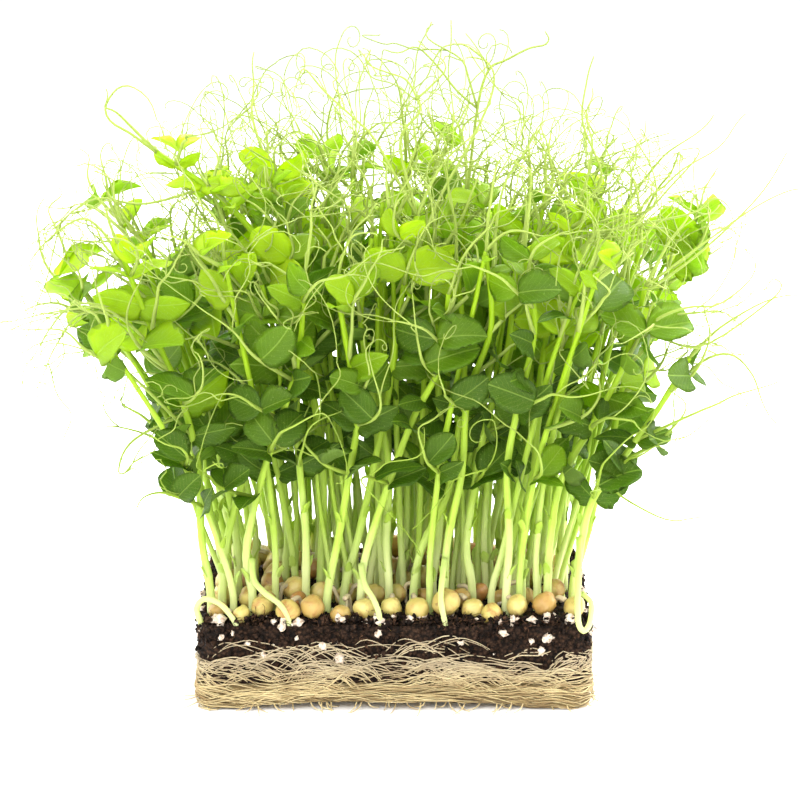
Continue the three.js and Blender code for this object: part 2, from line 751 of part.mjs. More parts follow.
function mediumSolid() {
  const bottom = matHeight + gap;
  const around = 32;
  const levels = [bottom, 20, blockHeight - 2.4, blockHeight];
  const insets = [0, 0.1, 0.3, 2.2];
  const rings = levels.map((z, level) =>
    made(around, (i) => {
      const { point, outwards } = perimeterPoint(i / around, mediumInset + 0.5 + insets[level]);
      const rough = crumb(point.x, point.y, z);
      point.addScaledVector(outwards, 0.35 * rough);
      point.z = z + (level > 1 ? 0.5 * rough : 0);
      return point;
    }),
  );
  const innerShare = 0.62; // one more ring part of the way in, so that the top is uneven too
  const innerPhase = 9;
  const innerRing = rings[levels.length - 1].map((edge) => {
    const point = vec(edge.x * innerShare, edge.y * innerShare, 0);
    point.z = blockHeight + 0.6 * crumb(point.x, point.y, innerPhase);
    return point;
  });
  let medium = ringSolid([...rings, innerRing]);
  const holeRadius = stemRadius + 0.45;
  for (const { x, y } of shoots) {
    const line = [vec(x, y, holeFloor - gap), vec(x, y, blockHeight + 4)];
    medium = medium.subtract(tube(line, [holeRadius, holeRadius], 4));
  }
  return medium;
}

const block = new THREE.Group();
function addPiece(name, solid, material) {
  const piece = new THREE.Mesh(geometryOf(solid), material);
  piece.name = name;
  block.add(piece);
}

addPiece("root_mat", rootMatSolid(), finishes.roots);
addPiece("growing_medium", mediumSolid(), finishes.medium);
seedRows.forEach((peas, row) => {
  const sides = row ? 5 : 6; // the front row shows most
  addPiece("seed_row_" + (row + 1), seedRowSolid(peas, sides), finishes.seeds);
});
shoots.forEach((shoot) => {
  const name = "shoot_" + String(shoot.number + 1).padStart(2, "0");
  addPiece(name, shootSolid(shoot), finishes.shoot);
});

export default block;
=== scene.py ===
# %% [markdown]
# # A block of pea shoots
# Pea shoots are sown thickly in a shallow tray and lifted out whole. The roots knit into a mat that
# keeps the shape of the tray, so the block stands by itself. This script dresses the measured solids
# of such a block, from the root mat up to the tendrils, and then lights and frames it.
#
# The solids fix where everything stands. Each step replaces one kind of solid by a finer piece that
# keeps its form, and adds what is too fine for a solid: crumbs, hair-thin roots, veins and curls.

# %% Load the measured solids
import math

import bpy
import numpy as np
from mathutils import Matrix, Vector, noise


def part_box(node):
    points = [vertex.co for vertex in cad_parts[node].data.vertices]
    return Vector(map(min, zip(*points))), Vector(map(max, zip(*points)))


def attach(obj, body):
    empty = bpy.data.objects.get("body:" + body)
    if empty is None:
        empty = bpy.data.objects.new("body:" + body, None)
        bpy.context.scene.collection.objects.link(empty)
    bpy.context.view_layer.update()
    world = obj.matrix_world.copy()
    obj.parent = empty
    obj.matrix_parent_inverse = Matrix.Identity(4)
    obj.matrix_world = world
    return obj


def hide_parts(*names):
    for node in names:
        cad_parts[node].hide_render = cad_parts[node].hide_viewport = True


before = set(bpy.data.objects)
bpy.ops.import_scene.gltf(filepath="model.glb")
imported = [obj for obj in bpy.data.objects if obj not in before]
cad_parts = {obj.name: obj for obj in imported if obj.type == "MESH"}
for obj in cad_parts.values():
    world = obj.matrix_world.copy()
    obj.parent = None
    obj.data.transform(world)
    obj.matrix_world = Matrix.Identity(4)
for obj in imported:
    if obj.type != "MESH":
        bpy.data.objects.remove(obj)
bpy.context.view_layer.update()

# %% [markdown]
# ## Sizes
# The block is a hand wide. All lengths in this script are in millimetres, because stems and leaves
# are thought of in them, and each finished mesh is scaled to metres once, when it is made.

# %% Sizes of the block
MM = 0.001
BLOCK_WIDTH, BLOCK_DEPTH, BLOCK_HEIGHT = 142.0, 104.0, 32.0
BLOCK_CORNER = 7.0
MAT_HEIGHT = 9.5
HOLE_FLOOR = 23.0
STEM_RADIUS, STEM_TIP_RADIUS = 1.7, 0.95
TURN = 2 * math.pi
LOW, HIGH = [1000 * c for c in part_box("shoot_01")[0]], [1000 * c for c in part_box("shoot_01")[1]]
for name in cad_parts:
    low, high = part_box(name)
    LOW = [min(a, 1000 * b) for a, b in zip(LOW, low)]
    HIGH = [max(a, 1000 * b) for a, b in zip(HIGH, high)]
print("the solids reach from", [round(v) for v in LOW], "to", [round(v) for v in HIGH], "mm")


# %% [markdown]
# ## Small tools
# Points are plain triples and curves pass through their points. A surface collects the vertices,
# faces and per-vertex values of one piece while it grows, and becomes a mesh at the end. Collecting
# first is much faster than adding to a mesh bit by bit.

# %% Points and curves
def plus(a, b, k=1.0):
    return (a[0] + b[0] * k, a[1] + b[1] * k, a[2] + b[2] * k)


def minus(a, b):
    return (a[0] - b[0], a[1] - b[1], a[2] - b[2])


def times(a, k):
    return (a[0] * k, a[1] * k, a[2] * k)


def dot(a, b):
    return a[0] * b[0] + a[1] * b[1] + a[2] * b[2]


def cross(a, b):
    return (a[1] * b[2] - a[2] * b[1], a[2] * b[0] - a[0] * b[2], a[0] * b[1] - a[1] * b[0])


def length_of(a):
    return math.sqrt(dot(a, a))


def unit(a):
    return times(a, 1 / (length_of(a) or 1))


def mixed(a, b, share):
    return plus(a, minus(b, a), share)


def turned(a, axis, angle):
    """The vector a turned about a unit axis."""
    c, s = math.cos(angle), math.sin(angle)
    turned_part = plus(times(a, c), cross(axis, a), s)
    return plus(turned_part, axis, dot(axis, a) * (1 - c))


def curve_point(points, t):
    """A point on the smooth curve through the points, with t from 0 to 1."""
    last = len(points) - 1
    place = last * t
    i = int(math.floor(place))
    weight = place - i
    if weight == 0 and i == last:
        i, weight = last - 1, 1.0
    before = points[i - 1] if i > 0 else minus(times(points[0], 2), points[1])
    after = points[i + 2] if i + 2 <= last else minus(times(points[last], 2), points[last - 1])
    here, there = points[i], points[i + 1]
    out = []
    for p0, p1, p2, p3 in zip(before, here, there, after):
        t0, t1 = 0.5 * (p2 - p0), 0.5 * (p3 - p1)
        c2 = -3 * p1 + 3 * p2 - 2 * t0 - t1
        c3 = 2 * p1 - 2 * p2 + t0 + t1
        out.append(p1 + t0 * weight + c2 * weight**2 + c3 * weight**3)
    return tuple(out)


def tapered(count, start, end):
    return [start + (end - start) * i / (count - 1) for i in range(count)]


def draws(number):
    """A repeatable stream of draws from 0 to 1, one stream for each number."""
    state = [(number * 7919 + 12345) % 4294967296]

    def draw():
        state[0] = (state[0] * 1664525 + 1013904223) % 4294967296
        return state[0] / 4294967296

    for _ in range(4):
        draw()
    return draw


bend = ((0, 0, 0), (1, 0, 0), (1, 1, 0))
print("a quarter of the way round a bend:", [round(c, 3) for c in curve_point(bend, 0.25)])


# %% [markdown]
# A tube could be a curve object with a bevel. Here it is made of rings of points instead, because a
# ring knows how far along the stem it lies. That length goes into the uv, and the materials draw ribs
# and fibres along it.

# %% A surface that grows, and the mesh it becomes
class Surface:
    """Vertices in mm with a uv pair and a tint each, and faces with a material number each."""

    def __init__(self):
        self.points, self.uvs, self.tints, self.faces, self.kinds = [], [], [], [], []

    def grid(self, rows, uvs, tint, kind, closed=False, caps=False):
        """A sheet of quads through rows of points; closed joins the end of each row to its start."""
        first, across = len(self.points), len(rows[0])
        for row, row_uvs in zip(rows, uvs):
            self.points.extend(row)
            self.uvs.extend(row_uvs)
        self.tints.extend([tint] * (across * len(rows)))
        for i in range(len(rows) - 1):
            for k in range(across if closed else across - 1):
                a = first + i * across + k
                b = first + i * across + (k + 1) % across
                self.faces.append((a, b, b + across, a + across))
                self.kinds.append(kind)
        if caps:
            end = first + (len(rows) - 1) * across
            self.faces.append(tuple(first + across - 1 - k for k in range(across)))
            self.faces.append(tuple(end + k for k in range(across)))
            self.kinds.extend([kind, kind])

    def tube(self, points, radii, sides, tint=0.5, kind=0):
        """A round tube through points, with its length in mm as u and its way round as v."""
        last = len(points) - 1
        first_way = unit(minus(points[1], points[0]))
        across = (0.0, 0.0, 1.0) if abs(first_way[2]) < 0.9 else (0.0, 1.0, 0.0)
        rows, uvs, run = [], [], 0.0
        for i, point in enumerate(points):
            ahead = unit(minus(points[min(i + 1, last)], points[max(i - 1, 0)]))
            across = unit(plus(across, ahead, -dot(across, ahead)))
            third = cross(ahead, across)
            run += length_of(minus(point, points[i - 1])) if i else 0.0
            ring = []
            for k in range(sides):
                angle = TURN * (k + 0.5) / sides
                reach = plus(times(across, math.cos(angle)), third, math.sin(angle))
                ring.append(plus(point, reach, radii[i]))
            rows.append(ring)
            uvs.append([(run, k / sides) for k in range(sides)])
        self.grid(rows, uvs, tint, kind, closed=True, caps=True)

    def piece(self, name, materials, slot, stands_for=()):
        """The finished mesh as a piece that rides on the block."""
        mesh = bpy.data.meshes.new(name)
        mesh.from_pydata([times(p, MM) for p in self.points], [], self.faces)
        mesh.polygons.foreach_set("material_index", self.kinds)
        mesh.polygons.foreach_set("use_smooth", [True] * len(self.faces))
        corners = np.zeros(len(mesh.loops), np.int32)
        mesh.loops.foreach_get("vertex_index", corners)
        layer = mesh.uv_layers.new(name="growth")
        layer.data.foreach_set("uv", np.array(self.uvs, np.float32)[corners].ravel())
        tint = mesh.attributes.new("tint", "FLOAT", "POINT")
        tint.data.foreach_set("value", np.array(self.tints, np.float32))
        for material in materials:
            mesh.materials.append(material)
        mesh.validate()
        made = bpy.data.objects.new(name, mesh)
        bpy.context.scene.collection.objects.link(made)
        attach(made, "root")
        if stands_for:
            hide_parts(*stands_for)
        return made


# %% [markdown]
# ## Materials
# Everything here is alive or was, so no surface has one flat colour. Leaves and stems let light
# through, which makes the crown glow where it is lit from behind. Their colour runs from nearly
# white at the foot, which grew in the dark, to yellow-green at the top. In the leaves part of that
# run is painted: painted shade darkens the crowded lower crown, and painted light brightens the top
# and the sides. Peas are blotched, roots are fibrous and the peat is rough.

# %% A short way to write node trees
class Tree:
    """The node tree of one material; calling it adds a node and returns it."""

    def __init__(self, name):
        self.material = bpy.data.materials.new(name)
        self.material.use_nodes = True
        self.nodes = self.material.node_tree.nodes
        self.links = self.material.node_tree.links
        self.nodes.clear()
        self.output = self("ShaderNodeOutputMaterial")

    def __call__(self, kind, inputs=None, **settings):
        made = self.nodes.new(kind)
        for key, value in settings.items():
            setattr(made, key, value)
        for key, value in (inputs or {}).items():
            self.put(made.inputs[key], value)
        return made

    def put(self, socket, value):
        if isinstance(value, bpy.types.NodeSocket):
            self.links.new(value, socket)
        else:
            socket.default_value = value

    def math(self, operation, a, b=0.0, c=0.0, clamp=False):
        node = self("ShaderNodeMath", {0: a, 1: b, 2: c}, operation=operation, use_clamp=clamp)
        return node.outputs[0]

    def ramp(self, value, low, high, to_low=0.0, to_high=1.0):
        inputs = {0: value, 1: low, 2: high, 3: to_low, 4: to_high}
        return self("ShaderNodeMapRange", inputs, clamp=True).outputs[0]

    def blend(self, share, a, b, mode="MIX"):
        node = self("ShaderNodeMix", data_type="RGBA", blend_type=mode, clamp_factor=True)
        for key, value in ((0, share), (6, a), (7, b)):
            self.put(node.inputs[key], value)
        return node.outputs[2]

    def noise(self, vector, scale, detail=3.0, rough=0.5, warp=0.0):
        inputs = {"Vector": vector, "Scale": scale, "Detail": detail, "Roughness": rough, "Distortion": warp}
        return self("ShaderNodeTexNoise", inputs).outputs["Fac"]

    def place(self):
        return self("ShaderNodeTexCoord").outputs["Object"]

    def height(self, place):
        return self("ShaderNodeSeparateXYZ", {0: place}).outputs[2]

    def tint(self):
        """The number that a stem, blade, pea or grain carries, which sets it apart from its neighbours; on
        blades it also carries painted side light.
        """
        return self("ShaderNodeAttribute", attribute_name="tint").outputs["Fac"]

    def growth(self):
        """The place on a tube or blade, from the uv that its surface was given."""
        return self("ShaderNodeUVMap", uv_map="growth").outputs[0]

    def stretched(self, vector, scale):
        return self("ShaderNodeMapping", {"Vector": vector, "Scale": scale}).outputs[0]

    def bump(self, height, strength, distance):
        inputs = {"Height": height, "Strength": strength, "Distance": distance}
        return self("ShaderNodeBump", inputs).outputs[0]

    def mixture(self, share, body, light):
        """The body's shader with a share of the light that comes through it."""
        inputs = {0: share, 1: body.outputs[0], 2: light.outputs[0]}
        return self("ShaderNodeMixShader", inputs).outputs[0]

    def finish(self, shader):
        self.links.new(shader, self.output.inputs[0])
        return self.material


def shade(red, green, blue):
    """A colour given as it looks on a screen, 0 to 255, as the linear light that nodes use."""
    parts = []
    for value in (red, green, blue):
        c = value / 255
        parts.append(c / 12.92 if c <= 0.04045 else ((c + 0.055) / 1.055) ** 2.4)
    return (*parts, 1.0)


# %% [markdown]
# A stem is grey-white at its foot, where no light reached it, and green above. So its colour is read
# from the height, shifted a little for each shoot by its tint and by a soft noise.

# %% The look of stems and tendrils
def green_flesh(name, low_shade, middle_shade, high_shade, through, glow):
    """Stem tissue: pale where it grew in the dark, greener upward, with fine ribs along it."""
    tree = Tree(name)
    place = tree.place()
    height = tree.height(place)
    tint = tree.tint()
    patch = tree.noise(place, 60.0, 2.0)
    lifted = tree.math("MULTIPLY_ADD", tree.math("SUBTRACT", tint, 0.5), 0.035, height)
    lifted = tree.math("MULTIPLY_ADD", tree.math("SUBTRACT", patch, 0.5), 0.02, lifted)
    colour = tree.blend(tree.ramp(lifted, 0.032, 0.066), low_shade, middle_shade)
    colour = tree.blend(tree.ramp(lifted, 0.066, 0.13), colour, high_shade)
    growth = tree.growth()
    ribs = tree.noise(tree.stretched(growth, (0.12, 14.0, 1.0)), 1.0, 2.0)
    colour = tree.blend(tree.ramp(ribs, 0.35, 0.7, 0.0, 0.28), colour, (0.9, 1.0, 0.75, 1.0), "SOFT_LIGHT")
    bump = tree.bump(ribs, 0.35, 0.0004)
    inputs = {"Base Color": colour, "Roughness": tree.ramp(patch, 0.3, 0.7, 0.34, 0.5), "Normal": bump}
    body = tree("ShaderNodeBsdfPrincipled", {**inputs, "Specular IOR Level": 0.2})
    bright = tree.blend(1.0, colour, glow, "MULTIPLY")
    light = tree("ShaderNodeBsdfTranslucent", {"Color": bright, "Normal": bump})
    return tree.finish(tree.mixture(through, body, light))


STEM = green_flesh(
    "pea_stem", shade(212, 218, 156), shade(170, 196, 78), shade(146, 180, 26), 0.32, (1.15, 1.15, 0.6, 1.0)
)
TENDRIL = green_flesh(
    "pea_tendril",
    shade(150, 174, 76),
    shade(142, 170, 50),
    shade(160, 178, 86),
    0.34,
    (1.05, 1.02, 0.85, 1.0),
)
print("stem and tendril materials made")


# %% [markdown]
# A leaf could be given a photograph of a leaf. Here its veins come from the place on the blade
# instead: the midrib where the width is nought, side veins that slant away from it, and a fine net
# between them. Such veins fit a blade of any size, and more light comes through between them.

# %% The look of leaves
LIGHT_THROUGH = 0.56


def leaf_blade(name, paler):
    """A blade's face: midrib, slanting side veins, pale flecks and light coming through."""
    tree = Tree(name)
    place = tree.place()
    height = tree.height(place)
    tint = tree.tint()
    growth = tree.growth()
    split = tree("ShaderNodeSeparateXYZ", {0: growth})
    along, across = split.outputs[0], split.outputs[1]
    off_rib = tree.math("ABSOLUTE", across)
    cloud = tree.noise(place, 110.0, 3.0)
    # Leaf colour by height: young leaves at the top are paler, and beyond that the lower crown is painted
    # darker (painted shade) and the top painted brighter (painted light).
    ripeness_and_painted_shade = tree.math("MULTIPLY_ADD", tree.math("SUBTRACT", tint, 0.5), 0.1, height)
    colour = tree.blend(tree.ramp(ripeness_and_painted_shade, 0.1, 0.16), shade(80, 114, 16), shade(130, 168, 4))
    colour = tree.blend(tree.ramp(ripeness_and_painted_shade, 0.14, 0.196), colour, shade(188, 214, 14))
    colour = tree.blend(tree.ramp(cloud, 0.35, 0.75, 0.0, 0.3), colour, shade(70, 108, 24))
    slant = tree.math("SUBTRACT", tree.math("MULTIPLY", along, 7.5), tree.math("MULTIPLY", off_rib, 3.4))
    wobble = tree.math("MULTIPLY", tree.noise(growth, 5.0, 2.0), 0.7)
    ridge = tree.math("PINGPONG", tree.math("ADD", slant, wobble), 0.5)
    side_vein = tree.ramp(ridge, 0.0, 0.075, 1.0, 0.0)
    rib = tree.ramp(off_rib, 0.015, 0.06, 1.0, 0.0)
    net = tree("ShaderNodeTexVoronoi", {"Vector": growth, "Scale": 16.0}, feature="DISTANCE_TO_EDGE")
    netting = tree.ramp(net.outputs["Distance"], 0.0, 0.08, 1.0, 0.0)
    veins = tree.math("MAXIMUM", rib, tree.math("MULTIPLY", side_vein, 0.55))
    veins = tree.math("MAXIMUM", veins, tree.math("MULTIPLY", netting, 0.22))
    colour = tree.blend(tree.math("MULTIPLY", veins, 0.42), colour, shade(178, 206, 92))
    flecks = tree.ramp(tree.noise(place, 1500.0, 1.0), 0.66, 0.74, 0.0, 0.3)
    colour = tree.blend(flecks, colour, shade(180, 200, 110))
    colour = tree.blend(paler, colour, shade(146, 172, 88))
    relief = tree.math("SUBTRACT", tree.math("MULTIPLY", cloud, 0.35), veins)
    bump = tree.bump(relief, 0.5, 0.0004)
    rough = tree.ramp(cloud, 0.3, 0.7, 0.34 + 0.4 * paler, 0.48 + 0.4 * paler)
    body = tree("ShaderNodeBsdfPrincipled", {"Base Color": colour, "Roughness": rough, "Normal": bump})
    body.inputs["Specular IOR Level"].default_value = 0.3
    glowing = tree.blend(1.0, colour, (1.32, 1.34, 0.5, 1.0), "MULTIPLY")
    light = tree("ShaderNodeBsdfTranslucent", {"Color": glowing, "Normal": bump})
    return tree.finish(tree.mixture(LIGHT_THROUGH, body, light))


LEAF = leaf_blade("pea_leaf", 0.0)
LEAF_BACK = leaf_blade("pea_leaf_underside", 0.35)
print("leaf material made with", len(LEAF.node_tree.nodes), "nodes")


# %% [markdown]
# A swollen pea is cream where its skin is tight, tan where it is old, and brown near its scar. Three
# noises of different size make the clouds, the blotches and the small dark spots.

# %% The look of peas
def pea_skin():
    """A swollen seed: cream to tan, blotched brown near its scar, with fine wrinkles."""
    tree = Tree("sown_pea")
    place = tree.place()
    tint = tree.tint()
    blotch = tree.noise(place, 190.0, 4.0, 0.6, 0.6)
    colour = tree.blend(tint, shade(192, 176, 98), shade(150, 106, 50))
    colour = tree.blend(tree.ramp(blotch, 0.5, 0.68, 0.0, 0.8), colour, shade(150, 98, 44))
    dark = tree.noise(place, 420.0, 3.0, 0.7)
    colour = tree.blend(tree.ramp(dark, 0.64, 0.72, 0.0, 0.6), colour, shade(92, 56, 30))
    pale = tree.ramp(tree.noise(place, 90.0, 2.0), 0.55, 0.75, 0.0, 0.6)
    colour = tree.blend(pale, colour, shade(202, 192, 124))
    wrinkle = tree.noise(place, 900.0, 3.0, 0.6)
    bump = tree.bump(tree.math("ADD", wrinkle, tree.math("MULTIPLY", blotch, 1.5)), 0.35, 0.0005)
    rough = tree.ramp(blotch, 0.3, 0.7, 0.32, 0.6)
    inputs = {"Base Color": colour, "Roughness": rough, "Normal": bump, "Subsurface Weight": 0.15}
    body = tree("ShaderNodeBsdfPrincipled", {**inputs, "Subsurface Radius": (0.002, 0.0012, 0.0006)})
    return tree.finish(body.outputs[0])


# %% [markdown]
# Moist peat is nearly black, and its crumbs only show because the gaps between them are painted
# darker still, as painted shade. Perlite is chalky and porous. Roots are cream low in the mat and greyer
# where they are thin.

# %% The look of moist peat
def peat():
    """Moist peat: nearly black, with reddish-brown crumbs, painted shade in the gaps between them and a rough
    surface.
    """
    tree = Tree("moist_peat")
    place = tree.place()
    tint = tree.tint()
    coarse = tree.noise(place, 260.0, 6.0, 0.65)
    fine = tree.noise(place, 1300.0, 4.0, 0.7)
    crumbs = tree("ShaderNodeTexVoronoi", {"Vector": place, "Scale": 620.0, "Randomness": 1.0})
    # The gaps between crumbs are painted darker: painted shade in the recesses.
    painted_gap_shade = tree.ramp(crumbs.outputs["Distance"], 0.25, 0.75)
    colour = tree.blend(tree.ramp(coarse, 0.38, 0.66), shade(15, 10, 8), shade(58, 42, 32))
    colour = tree.blend(tree.ramp(fine, 0.62, 0.72, 0.0, 0.5), colour, shade(92, 60, 40))
    colour = tree.blend(tree.math("MULTIPLY", tint, 0.75), colour, shade(112, 80, 58))
    colour = tree.blend(tree.math("MULTIPLY", painted_gap_shade, 0.9), colour, shade(9, 6, 4))
    relief = tree.math("ADD", coarse, tree.math("MULTIPLY", fine, 0.5))
    relief = tree.math("SUBTRACT", relief, painted_gap_shade)
    bump = tree.bump(relief, 1.0, 0.0014)
    rough = tree.ramp(fine, 0.3, 0.7, 0.6, 0.95)
    body = tree("ShaderNodeBsdfPrincipled", {"Base Color": colour, "Roughness": rough, "Normal": bump})
    body.inputs["Specular IOR Level"].default_value = 0.12
    return tree.finish(body.outputs[0])


# %% The look of perlite
def perlite():
    """Expanded glass: chalky white grains, stained pinkish-brown where peat has rubbed on them."""
    tree = Tree("perlite")
    place = tree.place()
    stain = tree.noise(place, 700.0, 4.0, 0.6)
    colour = tree.blend(tree.ramp(stain, 0.42, 0.66, 0.0, 0.8), shade(224, 210, 190), shade(140, 104, 80))
    pores = tree("ShaderNodeTexVoronoi", {"Vector": place, "Scale": 2600.0}).outputs["Distance"]
    bump = tree.bump(tree.math("ADD", stain, pores), 0.6, 0.0004)
    body = tree("ShaderNodeBsdfPrincipled", {"Base Color": colour, "Roughness": 0.85, "Normal": bump})
    return tree.finish(body.outputs[0])


# %% The look of roots
def root_fibre(name, pale_shade, deep_shade, mat):
    """Roots: cream with tan lengths; the mat itself shows the fibres that run round the block."""
    tree = Tree(name)
    place = tree.place()
    growth = tree.growth()
    tint = tree.tint()
    run = tree.stretched(place, (130, 130, 3200)) if mat else tree.stretched(growth, (0.2, 5.0, 1.0))
    fibres = tree.noise(run, 1.0, 4.0, 0.6, 1.6 if mat else 0.8)
    cloud = tree.noise(place, 120.0, 3.0)
    stain = tree.math("MULTIPLY_ADD", tint, 0.7, tree.ramp(cloud, 0.4, 0.8, 0.0, 0.4))
    colour = tree.blend(stain, pale_shade, deep_shade)
    height = tree.height(place)
    colour = tree.blend(tree.ramp(height, 0.008, 0.017, 0.0, 0.65), colour, shade(162, 148, 124))
    if mat:
        colour = tree.blend(tree.ramp(fibres, 0.46, 0.62), colour, shade(70, 48, 30))
        colour = tree.blend(tree.ramp(cloud, 0.6, 0.72, 0.0, 0.6), colour, shade(66, 46, 30))
    bump = tree.bump(fibres, 1.0 if mat else 0.3, 0.0012 if mat else 0.0003)
    inputs = {"Base Color": colour, "Roughness": tree.ramp(cloud, 0.3, 0.7, 0.5, 0.75), "Normal": bump}
    body = tree("ShaderNodeBsdfPrincipled", {**inputs, "Subsurface Weight": 0.1})
    body.inputs["Subsurface Radius"].default_value = (0.0015, 0.001, 0.0006)
    return tree.finish(body.outputs[0])


PEA = pea_skin()
PEAT = peat()
PERLITE = perlite()
ROOT_MAT = root_fibre("root_mat_fibre", shade(186, 162, 106), shade(134, 106, 64), True)
ROOT = root_fibre("root_strand", shade(210, 192, 142), shade(142, 116, 72), False)
print("materials:", [m.name for m in (STEM, TENDRIL, LEAF, PEA, PEAT, PERLITE, ROOT_MAT, ROOT)])


# %% [markdown]
# ## Where the peas lie and the stems stand
# The peas were sown in rows that ended up touching, and each stem comes up beside one. The solids
# follow a rule of growth, and the same rule runs again here, so that every finer stem, leaf and
# tendril lies exactly on its solid. Each shoot has its own stream of draws, which makes it repeatable.

# %% Rows of peas
SEED_ROWS_Y = (-43, -22.5, -2, 18.5, 39)
SEED_ROW_HALF, SEED_LOW, SEED_HIGH, SEED_SWAY, SEED_OVERLAP = 64, 4.1, 5.3, 1.9, 0.97
SEED_LIFT = BLOCK_HEIGHT + 1.2


def seed_row(row):
    draw, peas, before = draws(500 + row), [], 0
    x = -SEED_ROW_HALF + 3 * draw()
    while True:
        radius = SEED_LOW + (SEED_HIGH - SEED_LOW) * draw()
        sway = SEED_SWAY * (2 * draw() - 1)
        if before:
            x += (before + radius) * SEED_OVERLAP
        if x > SEED_ROW_HALF + 1:
            return peas
        peas.append((x, SEED_ROWS_Y[row] + sway, SEED_LIFT + radius * 0.97, radius))
        before = radius


seed_rows = [seed_row(row) for row in range(5)]


def beside_seeds(x, row, side):
    """How far forward or back a stem stands, so that it leans against the nearest peas of its row."""
    reach, push = STEM_RADIUS + 0.5, 0
    for pea_x, pea_y, _, radius in seed_rows[row]:
        room, off = radius + reach, x - pea_x
        if abs(off) < room:
            push = max(push, side * (pea_y - SEED_ROWS_Y[row]) + math.sqrt(room * room - off * off))
    return SEED_ROWS_Y[row] + side * push


print("peas in each row:", [len(peas) for peas in seed_rows])

# %% [markdown]
# The front shoots are placed one by one: where each stands, its lean, its course upward and its
# leaves. The ones behind follow a rule.

# %% The front shoots
# x, row, side, lean, course as (x, z), leaves as (kind, share of the way up, azimuth, length)
S, L = "stipule", "leaflet"
FRONT = (
    (-66, 0, 1, -6, ((-69, 60), (-70, 88), (-76, 113), (-86, 138), (-95, 163)),
     ((S, 0.56, -112, 14), (L, 0.72, -150, 19), (S, 0.88, -95, 18))),
    (-62, 1, -1, 2, ((-60, 58), (-52, 87), (-43, 107), (-41, 124), (-47, 150)),
     ((S, 0.72, -84, 21), (L, 0.88, -120, 16))),
    (-51, 0, 1, -14, ((-53, 54), (-49, 75), (-43, 96), (-34, 125), (-31, 158)),
     ((L, 0.72, -128, 15), (S, 0.88, -70, 17))),
    (-32, 1, -1, -2, ((-32, 60), (-34, 84), (-35, 105), (-30, 130), (-24, 152)),
     ((S, 0.72, -100, 18), (L, 0.88, -75, 18))),
    (-24, 0, 1, -12, ((-20, 60), (-16, 84), (-13, 106), (-16, 128), (-20, 152)),
     ((S, 0.88, -96, 21), (L, 0.72, -60, 14))),
    (-18, 1, -1, -6, ((-13, 58), (-7, 86), (-2, 112), (2, 142), (8, 176)),
     ((S, 0.72, -112, 17), (L, 0.88, -80, 17))),
    (-12, 0, 1, -10, ((-10, 54), (-2, 80), (7, 105), (16, 124), (19, 150)),
     ((S, 0.72, -70, 18), (L, 0.88, -110, 15))),
    (-2, 1, -1, 4, ((-3, 56), (-2, 84), (-8, 112), (-12, 138), (-8, 166)),
     ((L, 0.72, -110, 16), (S, 0.88, -80, 18))),
    (7, 1, -1, 0, ((10, 54), (19, 74), (23, 98), (25, 124), (22, 158)),
     ((S, 0.72, -90, 15), (L, 0.88, -66, 18))),
    (18, 0, 1, -12, ((19, 58), (24, 84), (26, 112), (34, 138), (32, 164)),
     ((L, 0.72, -52, 15), (S, 0.88, -94, 22))),
    (28, 1, -1, -4, ((26, 54), (29, 78), (33, 100), (40, 126), (43, 156)),
     ((S, 0.72, -84, 16), (L, 0.88, -100, 19))),
    (40, 0, 1, -14, ((41, 60), (40, 86), (44, 112), (49, 138), (45, 166)),
     ((S, 0.72, -60, 18), (L, 0.88, -120, 16))),
    (46, 1, -1, 0, ((46, 60), (50, 84), (52, 104), (60, 130), (64, 158)),
     ((L, 0.72, -96, 17), (S, 0.88, -70, 18))),
    (55, 0, 1, -8, ((56, 60), (60, 82), (72, 104), (82, 126), (88, 152)),
     ((S, 0.72, -100, 19), (L, 0.88, -74, 19))),
    (65, 0, 1, -4, ((67, 58), (71, 74), (82, 90), (94, 108), (104, 126)),
     ((L, 0.56, -38, 14), (S, 0.72, -80, 16), (L, 0.88, -20, 17))),
    (65, 1, -1, 8, ((69, 54), (74, 76), (80, 100), (84, 128), (78, 158)),
     ((S, 0.88, -76, 18), (L, 0.72, -50, 16))),
    (-27, 1, 1, -4, ((-26, 80), (-33, 128), (-44, 158), (-62, 180), (-84, 196)),
     ((S, 0.88, -100, 14), (L, 0.56, -70, 16))),
)
# The shoots behind: row, side, x
RULED = (
    (1, 1, (-57, 14, 40)), (2, -1, (-40, -6, 60)), (2, 1, (-62, -22, 24)), (3, -1, (-42, 4, 50)),
    (3, 1, (-60, -20, 26, 64)), (4, -1, (-38,)), (4, 1, (-58, -16, 14, 56)),
)
# Tendrils that reach far out: shoot, share of the way up, course as (x, y, z)
REACHING = (
    (0, 0.72, ((-96, -44, 142), (-112, -45, 145), (-126, -45, 142), (-141, -44, 138))),
    (0, 0.88, ((-103, -36, 172), (-115, -34, 172), (-126, -33, 162), (-129, -33, 158))),
    (0, 0.56, ((-92, -50, 122), (-104, -53, 131), (-117, -54, 134), (-126, -55, 124))),
    (13, 0.88, ((98, -52, 146), (112, -53, 147), (124, -53, 158), (122, -52, 168))),
    (14, 0.72, ((104, -44, 106), (118, -44, 112), (132, -43, 116), (138, -42, 124))),
    (14, 0.88, ((114, -40, 128), (126, -40, 120), (132, -40, 108), (138, -40, 96))),
    (5, 0.88, ((18, -31, 186), (30, -29, 207), (35, -28, 224), (33, -27, 232), (24, -27, 239))),
    (9, 0.88, ((36, -40, 178), (42, -37, 194), (50, -35, 206), (60, -34, 210))),
    (15, 0.88, ((86, -14, 172), (98, -12, 184), (112, -11, 196), (126, -10, 208))),
)
LEAF_PLACES = (0.56, 0.72, 0.88)
STEM_PLACES = (0, 0.15, 0.36, *LEAF_PLACES, 1)

